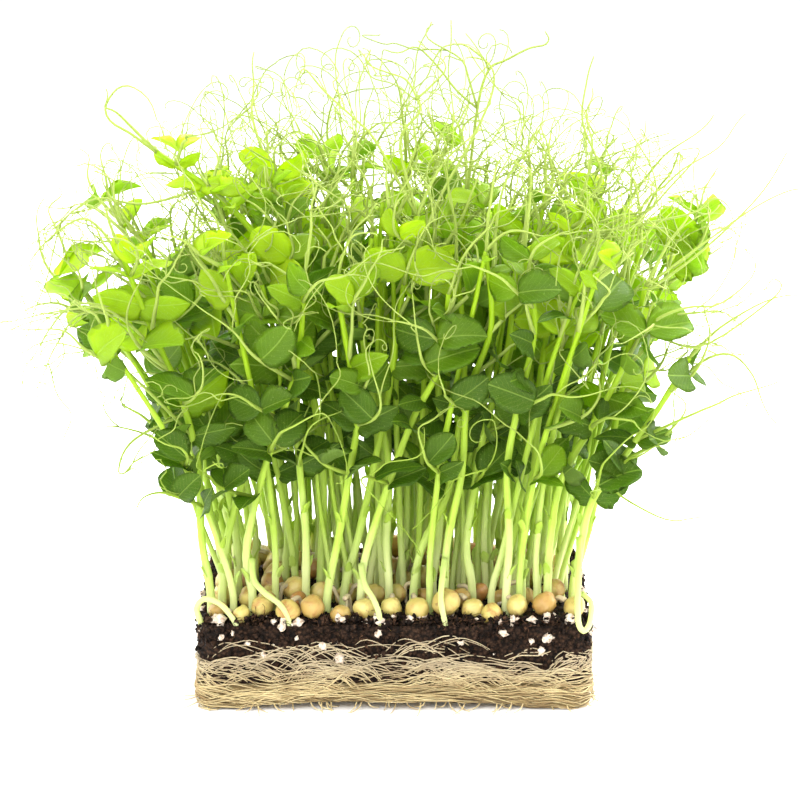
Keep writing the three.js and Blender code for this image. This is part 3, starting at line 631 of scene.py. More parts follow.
# %% [markdown]
# ## Room to grow
# Leaves of neighbouring shoots press together but never pass through each other. Every tube and
# blade is remembered as a string of balls in a coarse lattice of cells, so asking whether a new one
# would touch another shoot only looks at the cells around it.

# %% Balls and cells
CELL = 7.0
BALL_STEP, BLADE_BALL = 2.4, 2.3
cells = {}


def cell_of(point):
    return tuple(math.floor(c / CELL) for c in point)


def occupy(balls, owner):
    for point, radius in balls:
        cells.setdefault(cell_of(point), []).append((*point, radius, owner))


def is_clear(balls, owner):
    for point, radius in balls:
        ci, cj, ck = cell_of(point)
        for n in range(27):
            near = cells.get((ci - 1 + n % 3, cj - 1 + n // 3 % 3, ck - 1 + n // 9))
            for x, y, z, other, whose in near or ():
                room = radius + other
                away = (x - point[0]) ** 2 + (y - point[1]) ** 2 + (z - point[2]) ** 2
                if whose != owner and away < room * room:
                    return False
    return True


def tube_balls(points, radii, spare):
    balls = [(points[0], radii[0] + spare)]
    for i in range(1, len(points)):
        count = math.ceil(length_of(minus(points[i], points[i - 1])) / BALL_STEP)
        for k in range(1, count + 1):
            radius = radii[i - 1] + ((radii[i] - radii[i - 1]) * k) / count
            balls.append((mixed(points[i - 1], points[i], k / count), radius + spare))
    return balls


def blade_point(blade, s, w):
    """Where a share of a blade's length and half width lies: its edges rise and its tip droops."""
    side = cross(blade["facing"], blade["axis"])
    rise = blade["half_width"] * blade["cup"] * w * w - blade["length"] * blade["droop"] * s * s
    point = plus(blade["base"], blade["axis"], blade["length"] * s)
    point = plus(point, side, blade["half_width"] * w * blade["hand"])
    return plus(point, blade["facing"], rise)


def blade_balls(blade, ball=BLADE_BALL):
    reaches = ((0.1, 0.4), (0.28, 0.9), (0.46, 1), (0.64, 1), (0.82, 0.6), (0.96, 0.2))
    return [(blade_point(blade, s, w * r), ball) for s, r in reaches for w in (-1, -0.5, 0, 0.5, 1)]


# %% [markdown]
# ## Growing the shoots
# A stem rises straight from its hole and then follows its course, leaning more the higher it is. At
# each place along it a leaf may grow: a pair of stipules that clasp the stem, or a stalk with a pair
# of leaflets that runs out into a tendril. A leaf that finds no room turns away and tries again.

# %% Stems
def stem_points(x, y, course, lean):
    top = course[-1][1]
    points = [(x, y, HOLE_FLOOR), (x, y, BLOCK_HEIGHT + 7)]
    for course_x, z in course:
        risen = (z - BLOCK_HEIGHT) / (top - BLOCK_HEIGHT)
        points.append((course_x, y + lean * risen**1.6, z))
    return points


def ruled_course(x, y, draw):
    top_x = x * (1.3 + 0.4 * draw()) + 26 * (draw() - 0.5)
    top_z = 192 - 26 * (x / 66) ** 2 - 8 * (y / 50) ** 2 - 34 * draw()
    sway = 7 * (draw() - 0.5)
    course = []
    for risen in (0.18, 0.42, 0.66, 0.84, 1):
        course_x = x + (top_x - x) * risen**1.5 + sway * math.sin(risen * 5)
        course.append((course_x, BLOCK_HEIGHT + (top_z - BLOCK_HEIGHT) * risen))
    lean = y * (0.25 + 0.4 * draw()) + 20 * (draw() - 0.5)
    return course, lean


STEM_SPARE, FINE_STEPS = 0.35, 24
shoots = []


def plant(x, y, course, lean, draw):
    control = stem_points(x, y, course, lean)
    points = [curve_point(control, place) for place in STEM_PLACES]
    radii = [STEM_RADIUS + (STEM_TIP_RADIUS - STEM_RADIUS) * place for place in STEM_PLACES]
    fine = [curve_point(control, i / FINE_STEPS) for i in range(FINE_STEPS + 1)]
    balls = tube_balls(points, radii, STEM_SPARE)
    balls += tube_balls(fine, tapered(FINE_STEPS + 1, 1.5, 1), STEM_SPARE)
    if not is_clear(balls, len(shoots)):
        return False
    occupy(balls, len(shoots))
    shoot = {"x": x, "y": y, "control": control, "draw": draw, "number": len(shoots)}
    shoots.append({**shoot, "leaves": None, "blades": [], "tubes": [], "tip": None})
    return True


for x, row, side, lean, course, leaves in FRONT:
    draw = draws(len(shoots) + 1)
    for change in (0, 3, -3, 6, -6, 9, -9, 12, -12):
        if plant(x, beside_seeds(x, row, side), course, lean + change, draw):
            shoots[-1]["leaves"] = leaves
            break
for row, side, xs in RULED:
    for x in xs:
        draw, y = draws(len(shoots) + 1), beside_seeds(x, row, side)
        for _ in range(30):
            course, lean = ruled_course(x, y, draw)
            if plant(x, y, course, lean, draw):
                break
print("stems:", len(shoots))


# %% [markdown]
# A tendril is the far end of a leaf, which has turned into a feeler. It is drawn as a few even steps
# that bend more and more. Leaves and tendrils are tried at several angles, and the first that has
# room is kept, much as a real leaf turns to the light that its neighbours leave it.

# %% Leaves and tendrils
TENDRIL_SPARE, STRAY, TIP_STEPS = 0.5, 2.2, 3
# How leaves look for room: the balls round a blade, the tries, and how far blades roll and point up
CAREFUL = {"ball": BLADE_BALL, "attempts": 16, "roll": 0.0, "lift": 0.0}


def tendril_line(start, ahead, length, steps, bend, pull, axis):
    """A few even steps that bend more and more towards one side, pulled upward at first."""
    points, heading, hinge = [start], unit(ahead), unit(axis)
    for i in range(1, steps + 1):
        heading = turned(heading, hinge, (bend * (i + 1)) / steps)
        heading = unit((heading[0], heading[1], heading[2] + pull / i))
        points.append(plus(points[-1], heading, length / steps))
    return points


def pointing(azimuth, climb):
    return (math.cos(azimuth) * math.cos(climb), math.sin(azimuth) * math.cos(climb), math.sin(climb))


def any_axis(draw):
    return (draw() - 0.5, draw() - 0.5, draw() - 0.5)


# %% A pair of blades, and room for them
def blade_pair(base, azimuth, tilt, spread, kind, length, draw, manner):
    facing = pointing(azimuth, tilt)
    side = (-math.sin(azimuth), math.cos(azimuth), 0.0)
    upward = cross(facing, side)
    pair = []
    for hand in (1, -1):
        angle = spread + manner["lift"] + 0.5 * (draw() - 0.5)
        axis = plus(times(side, hand * math.cos(angle)), upward, math.sin(angle))
        size = length * (0.85 + 0.3 * draw())
        blade = {"kind": kind, "base": plus(base, axis, 0.3), "axis": axis, "facing": facing, "length": size}
        blade["hand"] = hand if kind == "stipule" else 1
        blade["half_width"] = size * (0.34 if kind == "stipule" else 0.38)
        blade["cup"] = 0.1 + 0.3 * draw()
        blade["droop"] = 0.05 + 0.3 * draw()
        if manner["roll"]:
            blade["facing"] = turned(facing, axis, manner["roll"] * (draw() - 0.5))
        pair.append(blade)
    return pair


def keep_blades(shoot, pair, needed, ball):
    clear = [blade for blade in pair if is_clear(blade_balls(blade, ball), shoot["number"])]
    if len(clear) < needed:
        return False
    for blade in clear:
        occupy(blade_balls(blade, ball), shoot["number"])
        shoot["blades"].append(blade)
    return True


def keep_tube(shoot, points, radii):
    balls = tube_balls(points, radii, TENDRIL_SPARE)
    if not is_clear(balls, shoot["number"]):
        return False
    occupy(balls, shoot["number"])
    shoot["tubes"].append((points, radii))
    return True


def outward(shoot, place, order):
    point = curve_point(shoot["control"], place)
    middle = math.atan2(point[1] + shoot["y"] * 0.5 - 30, point[0] + shoot["x"] * 0.5)
    return middle + (0.9 if order % 2 else -0.9)


# %% Stipules, leaves and growing tips
def grow_stipules(shoot, place, aim, length, manner=CAREFUL):
    base, draw = curve_point(shoot["control"], place), shoot["draw"]
    for attempt in range(manner["attempts"]):
        azimuth = aim + STRAY * (draw() - 0.5) * (0.1 + attempt / 5)
        tilt = 0.15 + 0.6 * draw()
        size = length * (1 - 0.02 * attempt)
        pair = blade_pair(base, azimuth, tilt, 0.15, "stipule", size, draw, manner)
        if keep_blades(shoot, pair, 2 if attempt < manner["attempts"] / 2 else 1, manner["ball"]):
            return


def grow_leaf(shoot, place, aim, length, manner=CAREFUL):
    base, draw = curve_point(shoot["control"], place), shoot["draw"]
    for attempt in range(manner["attempts"]):
        azimuth = aim + STRAY * (draw() - 0.5) * (0.1 + attempt / 5)
        ahead = pointing(azimuth, 0.35 + 0.5 * draw())
        end = plus(base, ahead, length * (0.6 + 0.3 * draw()))
        tilt = 0.2 + 0.6 * draw()
        axis = any_axis(draw)
        size = length * (1 - 0.02 * attempt)
        fork = plus(end, ahead, -0.8)
        pair = blade_pair(fork, azimuth, tilt, 0.35, "leaflet", size, draw, manner)
        points = [base] + tendril_line(end, ahead, length * 1.6, 3, 0.6, 0.3, axis)
        radii = [1.0, 0.9] + tapered(3, 0.75, 0.45)
        room = sum(is_clear(blade_balls(blade, manner["ball"]), shoot["number"]) for blade in pair)
        needed = 2 if attempt < manner["attempts"] / 2 else 1
        if room >= needed and keep_tube(shoot, points, radii):
            keep_blades(shoot, pair, 1, manner["ball"])
            return


def grow_tip(shoot, length):
    control, draw = shoot["control"], shoot["draw"]
    top = curve_point(control, 1.0)
    ahead = unit(minus(top, curve_point(control, 0.9999)))
    for attempt in range(12):
        axis = any_axis(draw)
        aim = (ahead[0] + 0.9 * (draw() - 0.5), ahead[1] + 0.9 * (draw() - 0.5), ahead[2])
        line = tendril_line(top, aim, length * (1 - 0.07 * attempt), TIP_STEPS, 0.6, 0.25, axis)
        radii = tapered(TIP_STEPS + 1, 0.75, 0.4)
        balls = tube_balls(line, radii, TENDRIL_SPARE)
        if is_clear(balls, shoot["number"]):
            occupy(balls, shoot["number"])
            shoot["tip"] = (line, radii)
            return


# %% Let the solid shoots grow
for number, place, course in REACHING:
    start = curve_point(shoots[number]["control"], place)
    for shift in (0, 3, -3, 6, -6, 9, -9):
        line = [start] + [(x, y + shift, z) for x, y, z in course]
        points = [curve_point(line, i / 6) for i in range(7)]
        if keep_tube(shoots[number], points, tapered(7, 0.85, 0.4)):
            break
for shoot in shoots:
    grow_tip(shoot, 46)
for shoot in shoots:
    for kind, place, degrees, length in shoot["leaves"] or ():
        grow = grow_leaf if kind == L else grow_stipules
        grow(shoot, place, math.radians(degrees), length)
for shoot in shoots:
    if not shoot["leaves"]:
        grow_leaf(shoot, LEAF_PLACES[1], outward(shoot, LEAF_PLACES[1], 0), 18)
        place = LEAF_PLACES[2 if shoot["number"] % 2 else 0]
        grow_stipules(shoot, place, outward(shoot, place, 1), 18)
        if shoot["number"] % 4 == 0:
            grow_leaf(shoot, LEAF_PLACES[2], outward(shoot, LEAF_PLACES[2], 1), 15)
print("blades:", sum(len(s["blades"]) for s in shoots), "tendrils:", sum(len(s["tubes"]) for s in shoots))

# %% [markdown]
# A rule that runs twice can drift apart. So each shoot's reach is measured against the box of its
# solid before anything is built on it.

# %% Compare each shoot with its solid
RIM = {
    S: ((0.08, -1.05), (0.3, -0.85), (0.6, -1.15), (0.15, 0.42), (0.35, 0.6), (0.7, 0.45), (1, -0.1)),
    L: ((0.2, -0.75), (0.62, -1), (0.2, 0.75), (0.62, 1), (1, 0)),
}
worst = 0.0
for shoot in shoots:
    points = [curve_point(shoot["control"], place) for place in STEM_PLACES]
    for line, _ in [*shoot["tubes"], *([shoot["tip"]] if shoot["tip"] else [])]:
        points += line
    for blade in shoot["blades"]:
        points += [blade_point(blade, s, w) for s, w in RIM[blade["kind"]]]
    low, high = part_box(f"shoot_{shoot['number'] + 1:02d}")
    for axis in range(3):
        ours = min(p[axis] for p in points), max(p[axis] for p in points)
        worst = max(worst, abs(ours[0] - 1000 * low[axis]), abs(ours[1] - 1000 * high[axis]))
print("largest difference between a shoot and its solid:", round(worst, 2), "mm")

# %% [markdown]
# ## More leaves and thinner shoots
# The solids hold the shoots that shape the block. The real crown is much fuller: every shoot bears
# five or six leaves, and slim shoots stand between the thick ones. They grow by the same rule, with
# smaller balls round them, so they fill the room that is left and pass nothing.

# %% Seeds and slim shoots
for row in seed_rows:
    for x, y, z, radius in row:
        occupy([((x, y, z), radius - 0.6)], "seed")
solid_shoots = len(shoots)
SLIM_SPARE = 0.15


def plant_slim(draw):
    """One slim shoot somewhere on the block, if there is room for it."""
    x = (BLOCK_WIDTH / 2 - 8) * (2 * draw() - 1)
    y = (BLOCK_DEPTH / 2 - 8) * (2 * draw() - 1)
    course, lean = ruled_course(x, y, draw)
    control = stem_points(x, y, course, lean)
    control[0] = (x, y, BLOCK_HEIGHT - 2)
    fine = [curve_point(control, i / FINE_STEPS) for i in range(FINE_STEPS + 1)]
    balls = tube_balls(fine, tapered(FINE_STEPS + 1, 1.45, 0.75), SLIM_SPARE)
    if not is_clear(balls, len(shoots)):
        return
    occupy(balls, len(shoots))
    shoot = {"x": x, "y": y, "control": control, "draw": draw, "number": len(shoots)}
    shoots.append({**shoot, "leaves": None, "blades": [], "tubes": [], "tip": None})


ALL_SHOOTS, SLIM_TRIES = 112, 2600
for number in range(1, SLIM_TRIES):
    if len(shoots) < ALL_SHOOTS:
        plant_slim(draws(1000 + number))
print("slim shoots:", len(shoots) - solid_shoots)

# %% [markdown]
# Leaves get smaller and narrower towards the growing tip, because they are younger there. Some are
# left out at the sides, where the photo shows bare stems against the white.

# %% Leaves that fill the crown
MORE_PLACES = ((0.5, 15), (0.64, 16), (0.8, 17), (0.95, 15))
ALL_PLACES = ((0.48, 13), (0.58, 15), (0.68, 17), (0.78, 17), (0.88, 17), (0.97, 14))
CROWDED = {"ball": 0.85, "attempts": 6, "roll": 1.9, "lift": 0.4}
YOUNG_HEIGHT, OPEN_SIDE = 160, 78
MIDDLE, MIDDLE_SIZE, OUTER_SIZE = (-6, 30), 1.3, 1.08


def leaf_size(size, y, height):
    """A leaf's length: larger in the middle of the block, smaller towards the top."""
    place_size = MIDDLE_SIZE if MIDDLE[0] < y < MIDDLE[1] else OUTER_SIZE
    return size * (place_size - 0.36 * min(1, max(0, (height - 142) / 30)))


for shoot in shoots[solid_shoots:]:
    grow_tip(shoot, 26)
for shoot in shoots:
    solid = shoot["number"] < solid_shoots
    for order, (place, size) in enumerate(MORE_PLACES if solid else ALL_PLACES):
        if abs(curve_point(shoot["control"], place)[0]) > OPEN_SIDE and shoot["draw"]() < 0.5:
            continue
        aim = outward(shoot, place, order + shoot["number"])
        height = curve_point(shoot["control"], place)[2]
        size = leaf_size(size, shoot["y"], height)
        grown = len(shoot["blades"])
        grow_leaf(shoot, place, aim + 0.4, size, CROWDED)
        if height < YOUNG_HEIGHT or shoot["draw"]() < 0.4:
            grow_stipules(shoot, place, aim, size, CROWDED)
        for blade in shoot["blades"][grown:]:
            if blade["base"][2] > YOUNG_HEIGHT:
                blade["cup"] += 0.45
                blade["half_width"] *= 0.72
print("blades in all:", sum(len(s["blades"]) for s in shoots))


# %% [markdown]
# Above the leaves, the youngest leaf stalks stand up like bare twigs. They are what gives the top of
# a pea crown its tangle, so each shoot gets one or two where there is room.

# %% Young stalks that rise out of the crown
def grow_stalk(shoot, place):
    """A bare leaf stalk that climbs out of the crown, where there is room, and forks there."""
    base, draw = curve_point(shoot["control"], place), shoot["draw"]
    for _ in range(10):
        azimuth = math.atan2(base[1] - 20, base[0]) + 2.4 * (draw() - 0.5)
        ahead, axis = pointing(azimuth, 0.65 + 0.6 * draw()), any_axis(draw)
        points = tendril_line(base, ahead, 20 + 20 * draw(), 4, 0.7 * (draw() - 0.5), 0.2, axis)
        low_enough = all(point[2] < HIGH[2] - 34 and LOW[1] + 6 < point[1] < HIGH[1] - 8 for point in points)
        if low_enough and keep_tube(shoot, points, tapered(5, 1.0, 0.6)):
            shoot["stalks"].append(shoot["tubes"].pop())
            return


for shoot in shoots:
    shoot["stalks"] = []
    for place in (0.82, 0.95) if shoot["number"] % 3 == 0 else (0.82,):
        if curve_point(shoot["control"], place)[2] > 120:
            grow_stalk(shoot, place)
print("young stalks:", sum(len(s["stalks"]) for s in shoots))

# %% [markdown]
# ## Stems, blades and tendrils as fine meshes
# A blade is a closed sheet as thin as a real leaf. It is spun like a tube: each ring runs from the
# right edge over the upper face to the left edge and back along the lower face, so both faces and
# the rim come in one go. The outline is a smooth curve; stipules have teeth on their lower edge.

# %% Smooth lines
def smooth_line(points, step):
    total = sum(length_of(minus(b, a)) for a, b in zip(points, points[1:]))
    count = max(4, math.ceil(total / step))
    return [curve_point(points, i / count) for i in range(count + 1)]


def spread(values, count):
    """The values read off evenly at count places."""
    out, last = [], len(values) - 1
    for i in range(count):
        place = last * i / (count - 1)
        k = min(int(place), last - 1)
        out.append(values[k] + (values[k + 1] - values[k]) * (place - k))
    return out


# How far out the crown's finest tendrils reach at each height: (height, half width)
REACH = ((50, 70), (80, 105), (100, 120), (130, 138), (160, 136), (180, 120), (200, 98), (218, 66), (239, 34))


def inside(points):
    """Whether a line keeps within the crown."""
    for x, y, z in points:
        if not (REACH[0][0] < z < REACH[-1][0] and LOW[1] < y < HIGH[1]):
            return False
        for (low, narrow), (high, wide) in zip(REACH, REACH[1:]):
            if low <= z <= high and abs(x) > narrow + (wide - narrow) * (z - low) / (high - low):
                return False
    return True


def wavy(line, size, calm, draw):
    """The line with a slow sideways wave, which starts a calm share of the way along."""
    side, other = unit(any_axis(draw)), unit(any_axis(draw))
    phase, waves, out = TURN * draw(), 1 + 1.6 * draw(), []
    for i, point in enumerate(line):
        share = i / (len(line) - 1)
        strength = size * min(1, 2 * max(0, share - calm))
        point = plus(point, side, strength * math.sin(phase + waves * math.pi * share))
        out.append(plus(point, other, strength * math.cos(phase * 2 + 1.7 * waves * math.pi * share)))
    return [line[0]] + out[1:]


# %% [markdown]
# No leaf is flat. Each blade is folded along its midrib, twisted towards its tip and waved along its
# edges, all by amounts that follow from its number, so that no two near each other look alike.

# %% Blades
# Edges from the base to the tip as (share of the length, share of the half width)
EDGES = {
    S: (
        ((0, -0.05), (-0.05, -0.6), (0.06, -1.05), (0.3, -1.0), (0.58, -1.08), (0.84, -0.66), (1, -0.08)),
        ((0, 0.05), (0.05, 0.26), (0.2, 0.48), (0.4, 0.62), (0.65, 0.56), (0.86, 0.28), (1, -0.08)),
    ),
    L: (
        ((0, -0.04), (0.05, -0.52), (0.2, -0.88), (0.46, -1.05), (0.72, -0.95), (0.92, -0.58), (1, 0)),
        ((0, 0.04), (0.05, 0.52), (0.2, 0.88), (0.46, 1.05), (0.72, 0.95), (0.92, 0.58), (1, 0)),
    ),
}
BLADE_ROWS = {S: 16, L: 10}
BLADE_STEPS = 3
LEAF_THICKNESS = 0.34
TOOTH = 0.07


def edge_point(kind, hand, share):
    controls = [(s, w, 0.0) for s, w in EDGES[kind][hand]]
    s, w, _ = curve_point(controls, share)
    return s, w


def add_blade(surface, blade, tint, number, upper_kind=1, lower_kind=2):
    """A closed blade, folded along its rib, twisted and waved, with veins drawn by its uv."""
    kind, rows, uvs = blade["kind"], [], []
    facing, axis = blade["facing"], blade["axis"]
    phase = number * 1.7
    twist, fold = 0.5 * math.sin(phase * 3.1), 0.16 + 0.14 * math.sin(phase * 2.3)
    for i in range(BLADE_ROWS[kind] + 1):
        share = i / BLADE_ROWS[kind]
        ring, ring_uvs, stops = [], [], []
        for hand in (0, 1):
            s, w = edge_point(kind, hand, share)
            if kind == S and hand == 0 and 0.12 < share < 0.62 and i % 2:
                w *= 1 - TOOTH
            stops.append((s, w))
        for k in range(-BLADE_STEPS, BLADE_STEPS + 1):
            s_edge, w_edge = stops[0] if k < 0 else stops[1]
            reach = abs(k) / BLADE_STEPS
            s = share + (s_edge - share) * reach
            w = w_edge * reach
            wave = 0.05 * blade["length"] * w * w * math.sin(7.5 * s + phase + (2.1 if k < 0 else 0))
            spot = plus(blade_point(blade, s, w), facing, wave + fold * blade["half_width"] * abs(w))
            rib = plus(blade["base"], axis, blade["length"] * s)
            ring.append(plus(rib, turned(minus(spot, rib), axis, twist * s)))
            ring_uvs.append((s, w))
        half = LEAF_THICKNESS / 2 * (0.35 + 0.65 * math.sin(math.pi * min(0.95, share + 0.05)))
        inner = range(1, len(ring) - 1)
        lower = [plus(ring[k], facing, -half) for k in reversed(inner)]
        lower_uvs = [ring_uvs[k] for k in reversed(inner)]
        upper = [plus(p, facing, half if 0 < k < len(ring) - 1 else 0) for k, p in enumerate(ring)]
        if blade["hand"] < 0:
            upper, ring_uvs = upper[::-1], ring_uvs[::-1]
            lower, lower_uvs = lower[::-1], lower_uvs[::-1]
        rows.append(upper + lower)
        uvs.append(ring_uvs + lower_uvs)
    first_face = len(surface.faces)
    surface.grid(rows, uvs, tint, upper_kind, closed=True, caps=True)
    across = len(rows[0])
    for face in range(first_face, len(surface.faces) - 2):
        if (face - first_face) % across >= 2 * BLADE_STEPS:
            surface.kinds[face] = lower_kind


# %% [markdown]
# A tendril is thick where it leaves its stalk and as fine as a hair at its end. It forks once or
# twice and each end winds up. A curve object with a bevel could do this, but a plain tube keeps every
# tendril in its shoot's own mesh.

# %% Tendrils and curls
def curl(start, ahead, axis, length, angle):
    """A line that winds up more and more tightly, drifting sideways like a spring."""
    points, heading, steps = [start], unit(ahead), max(7, int(abs(angle) / 0.55))
    for i in range(steps):
        share = i / steps
        heading = turned(heading, axis, angle * (0.4 + 1.2 * share) / steps)
        pace = length / steps * (1.5 - 1.05 * share)
        points.append(plus(plus(points[-1], heading, pace), axis, 0.16 * pace))
    return points


def square_axis(ahead, draw):
    """A random direction square to the way ahead."""
    return unit(cross(ahead, any_axis(draw)))


BRANCH_RADIUS, CURL_RADIUS = 0.34, 0.19


def add_tendril(surface, points, radii, draw, tint, branches=2):
    """A tendril that runs on into a curl, with thinner branches that curl in their turn."""
    line = wavy(smooth_line(points, 2.6), 2.2, 0.35, draw)
    thick = spread(radii, len(line))
    girth = [radius * (1.0 - 0.48 * i / (len(line) - 1)) for i, radius in enumerate(thick)]
    surface.tube(line, girth, 5, tint, 3)
    tips = [(line[-1], minus(line[-1], line[-2]), girth[-1])]
    for _ in range(branches):
        place = int(len(line) * (0.35 + 0.5 * draw()))
        ahead = unit(minus(line[place], line[place - 1]))
        side = square_axis(ahead, draw)
        aim = turned(ahead, side, 0.5 + 0.5 * draw())
        length = 14 + 26 * draw()
        branch = tendril_line(line[place], aim, length, 6, 0.5 * (draw() - 0.5), 0.06, any_axis(draw))
        if inside(branch):
            fine = wavy(smooth_line(branch, 2.4), 1.6, 0, draw)
            surface.tube(fine, tapered(len(fine), BRANCH_RADIUS, 0.24), 3, tint, 3)
            tips.append((fine[-1], minus(fine[-1], fine[-2]), 0.24))
    for tip, ahead, radius in tips:
        for _ in range(3):
            axis = square_axis(unit(ahead), draw)
            wound = curl(tip, ahead, axis, 8 + 24 * draw(), 1.6 + 7 * draw() ** 1.6)
            if inside(wound):
                surface.tube(wound, tapered(len(wound), max(radius, CURL_RADIUS), CURL_RADIUS), 3, tint, 3)
                break


# %% [markdown]
# The tendrils that stand out against the white are placed one by one, as seen from the front. Each
# starts at the front stem nearest to it, and comes a little forward with every step.

# %% The longest tendrils
# Courses as (x, z), each from the stem nearest to its first point
LONG = (
    ((-84, 196), (-93, 203), (-99.5, 207.5), (-101.5, 213), (-98, 218), (-92, 219.5), (-86, 217.5),
     (-83, 212.5)),
    ((-90, 140), (-110, 146), (-121, 137), (-123, 130)),
    ((-90, 138), (-108, 143), (-118, 132), (-123, 121)),
    ((-82, 105), (-90, 98), (-96, 92), (-97, 86), (-93, 84), (-91, 88)),
    ((0, 192), (2, 202), (8.7, 213), (7.8, 218), (4, 225), (-0.4, 228.4), (-8, 232), (-11, 235)),
    ((24, 192), (29.7, 209), (33.6, 223), (39.5, 226.6), (47.8, 231), (54.8, 233.6), (56.5, 236),
     (53, 238.4)),
    ((0, 186), (-6, 202), (-12.7, 210), (-24, 220), (-29.7, 226), (-33.3, 225)),
    ((70, 176), (73, 188), (66, 208), (67, 222), (69, 229)),
    ((59, 168), (78, 174), (91, 178), (92, 192), (82, 206)),
    ((59, 166), (84, 172), (98, 186), (105, 195), (101, 200)),
    ((62, 164), (90, 172), (106, 176), (114, 181), (118, 176)),
    ((84, 152), (99, 161), (118, 176), (134, 186), (141, 188)),
    ((84, 150), (106, 164), (126, 184), (135, 200)),
    ((84, 112), (92, 117), (104, 119), (117, 121)),
    ((78, 134), (92, 134), (108, 131), (130, 146), (135, 153), (131, 157), (128, 153)),
    ((84, 140), (99, 142), (115, 143), (122, 138)),
    ((70, 84), (80, 76), (94, 69), (112, 66)),
    ((-60, 150), (-84, 148), (-100, 152), (-112, 158), (-118, 166)),
    ((-66, 170), (-88, 178), (-104, 180), (-115, 176), (-122, 170)),
)
# Tendrils that fork from a long one: its number, the point it forks at, course as (x, z)
FORKS = (
    (5, 1, ((22, 216), (15, 225), (8, 231), (3, 232), (-2, 231.5), (-4, 228))),
    (5, 1, ((26.5, 220), (24, 227), (16.6, 232.8), (11, 236), (12.6, 238.4))),
    (5, 2, ((32, 227), (27, 231), (22, 233), (16, 231), (12.4, 225))),
    (4, 3, ((12, 222), (17, 228), (16, 234), (12, 235))),
)


def nearest_stem(x, z):
    """The point on the front stems that is nearest to a place seen from the front."""
    best, found = 1e9, None
    for shoot in shoots[:solid_shoots]:
        for i in range(30, 61):
            point = curve_point(shoot["control"], i / 60)
            away = abs(point[0] - x) + abs(point[2] - z) + 0.25 * abs(point[1] + 35)
            if away < best:
                best, found = away, point
    return found


def add_long_tendrils():
    surface, draw, lines = Surface(), draws(2900), []
    for course in LONG:
        points = [nearest_stem(*course[0])]
        for x, z in course[1:]:
            y = max(LOW[1] + 3, points[-1][1] - 1.2 - 1.6 * draw())
            points.append((x, y, z))
        lines.append(points)
        add_tendril(surface, points, tapered(len(points), 0.62, 0.42), draw, 0.7, 3)
    for parent, at, course in FORKS:
        start = lines[parent][at]
        points = [start] + [(x, start[1] - 1.5 * i, z) for i, (x, z) in enumerate(course, 1)]
        add_tendril(surface, points, tapered(len(points), 0.46, 0.36), draw, 0.7, 1)
    return surface


# %% [markdown]
# A stem is a tube that swells a little at each joint. Low on it sit two scale leaves, the small
# clasping leaves that a pea makes before its true ones. Everything that one shoot bears goes into one
# mesh, as it grew, and four materials tell its parts apart.

# %% Shoots
SCALE_LEAF = 5.5
STEM_RINGS = 40


def add_stem(surface, shoot, slim, tint):
    control, draw = shoot["control"], shoot["draw"]
    line = [curve_point(control, i / STEM_RINGS) for i in range(STEM_RINGS + 1)]
    low, high = (1.45, 0.75) if slim else (STEM_RADIUS, STEM_TIP_RADIUS)
    radii = []
    for i in range(STEM_RINGS + 1):
        place = i / STEM_RINGS
        joint = max(math.exp(-(((place - node) / 0.012) ** 2)) for node in (0.22, 0.38, *LEAF_PLACES))
        radii.append((low + (high - low) * place) * (1 + 0.16 * joint))
    surface.tube(line, radii, 8, tint, 0)
    for node in (0.22, 0.38):
        base = curve_point(control, node)
        azimuth = TURN * draw()
        outwards = pointing(azimuth, 0.0)
        axis = unit((outwards[0] * 0.35, outwards[1] * 0.35, 1.0))
        scale = {"kind": S, "base": plus(base, outwards, 1.1), "axis": axis, "facing": outwards}
        scale.update(length=SCALE_LEAF, half_width=2.0, hand=1 if draw() > 0.5 else -1, cup=-0.5, droop=-0.1)
        add_blade(surface, scale, 0.9, int(100 * draw()), 0, 0)


def add_shoot(surface, shoot, slim):
    draw = draws(3000 + shoot["number"])
    tint = 0.2 + 0.6 * draw()
    add_stem(surface, shoot, slim, tint)
    if shoot["tip"]:
        line, radii = shoot["tip"]
        add_tendril(surface, line, radii, draw, tint, 1 if slim else 2)
    for points, radii in shoot["tubes"]:
        add_tendril(surface, points, [0.85 * r for r in radii], draw, tint, 1)
    for points, radii in shoot["stalks"]:
        add_tendril(surface, points, radii, draw, tint + 0.2, 1)
    for number, blade in enumerate(shoot["blades"]):
        # Blades far out at the sides get a higher tint, which paints them yellower and brighter: painted side
        # light from behind.
        painted_side_light = 0.006 * max(0, abs(blade["base"][0]) - 60)
        ripe_and_painted_light = tint + painted_side_light + 0.5 * (draw() - 0.5)
        add_blade(surface, blade, min(1.2, max(0, ripe_and_painted_light)), number + shoot["number"])


SHOOT_MATERIALS = [STEM, LEAF, LEAF_BACK, TENDRIL]
fine_count = 0
for shoot in shoots[:solid_shoots]:
    surface = Surface()
    add_shoot(surface, shoot, False)
    node = f"shoot_{shoot['number'] + 1:02d}"
    fine_count += len(surface.piece(node + "_leafy", SHOOT_MATERIALS, "shoots", [node]).data.polygons)
print("faces of the main shoots:", fine_count)
long_tendrils = add_long_tendrils().piece("long_tendrils", SHOOT_MATERIALS, "shoots")
print("faces of the long tendrils:", len(long_tendrils.data.polygons))
SLIM_GROUPS = 4
for group in range(SLIM_GROUPS):
    surface = Surface()
    for shoot in shoots[solid_shoots + group :: SLIM_GROUPS]:
        add_shoot(surface, shoot, True)
    made = surface.piece(f"slim_shoots_{group + 1}", SHOOT_MATERIALS, "shoots")
    print(made.name, "faces", len(made.data.polygons))


# %% [markdown]
# Between the leafy shoots stand weaker ones that never reached the light. They end inside the crown
# and close the view through the stems.

# %% Bare shoots that end inside the crown
BARE_SHOOTS, BARE_TRIES, BARE_STEPS = 46, 2400, 20


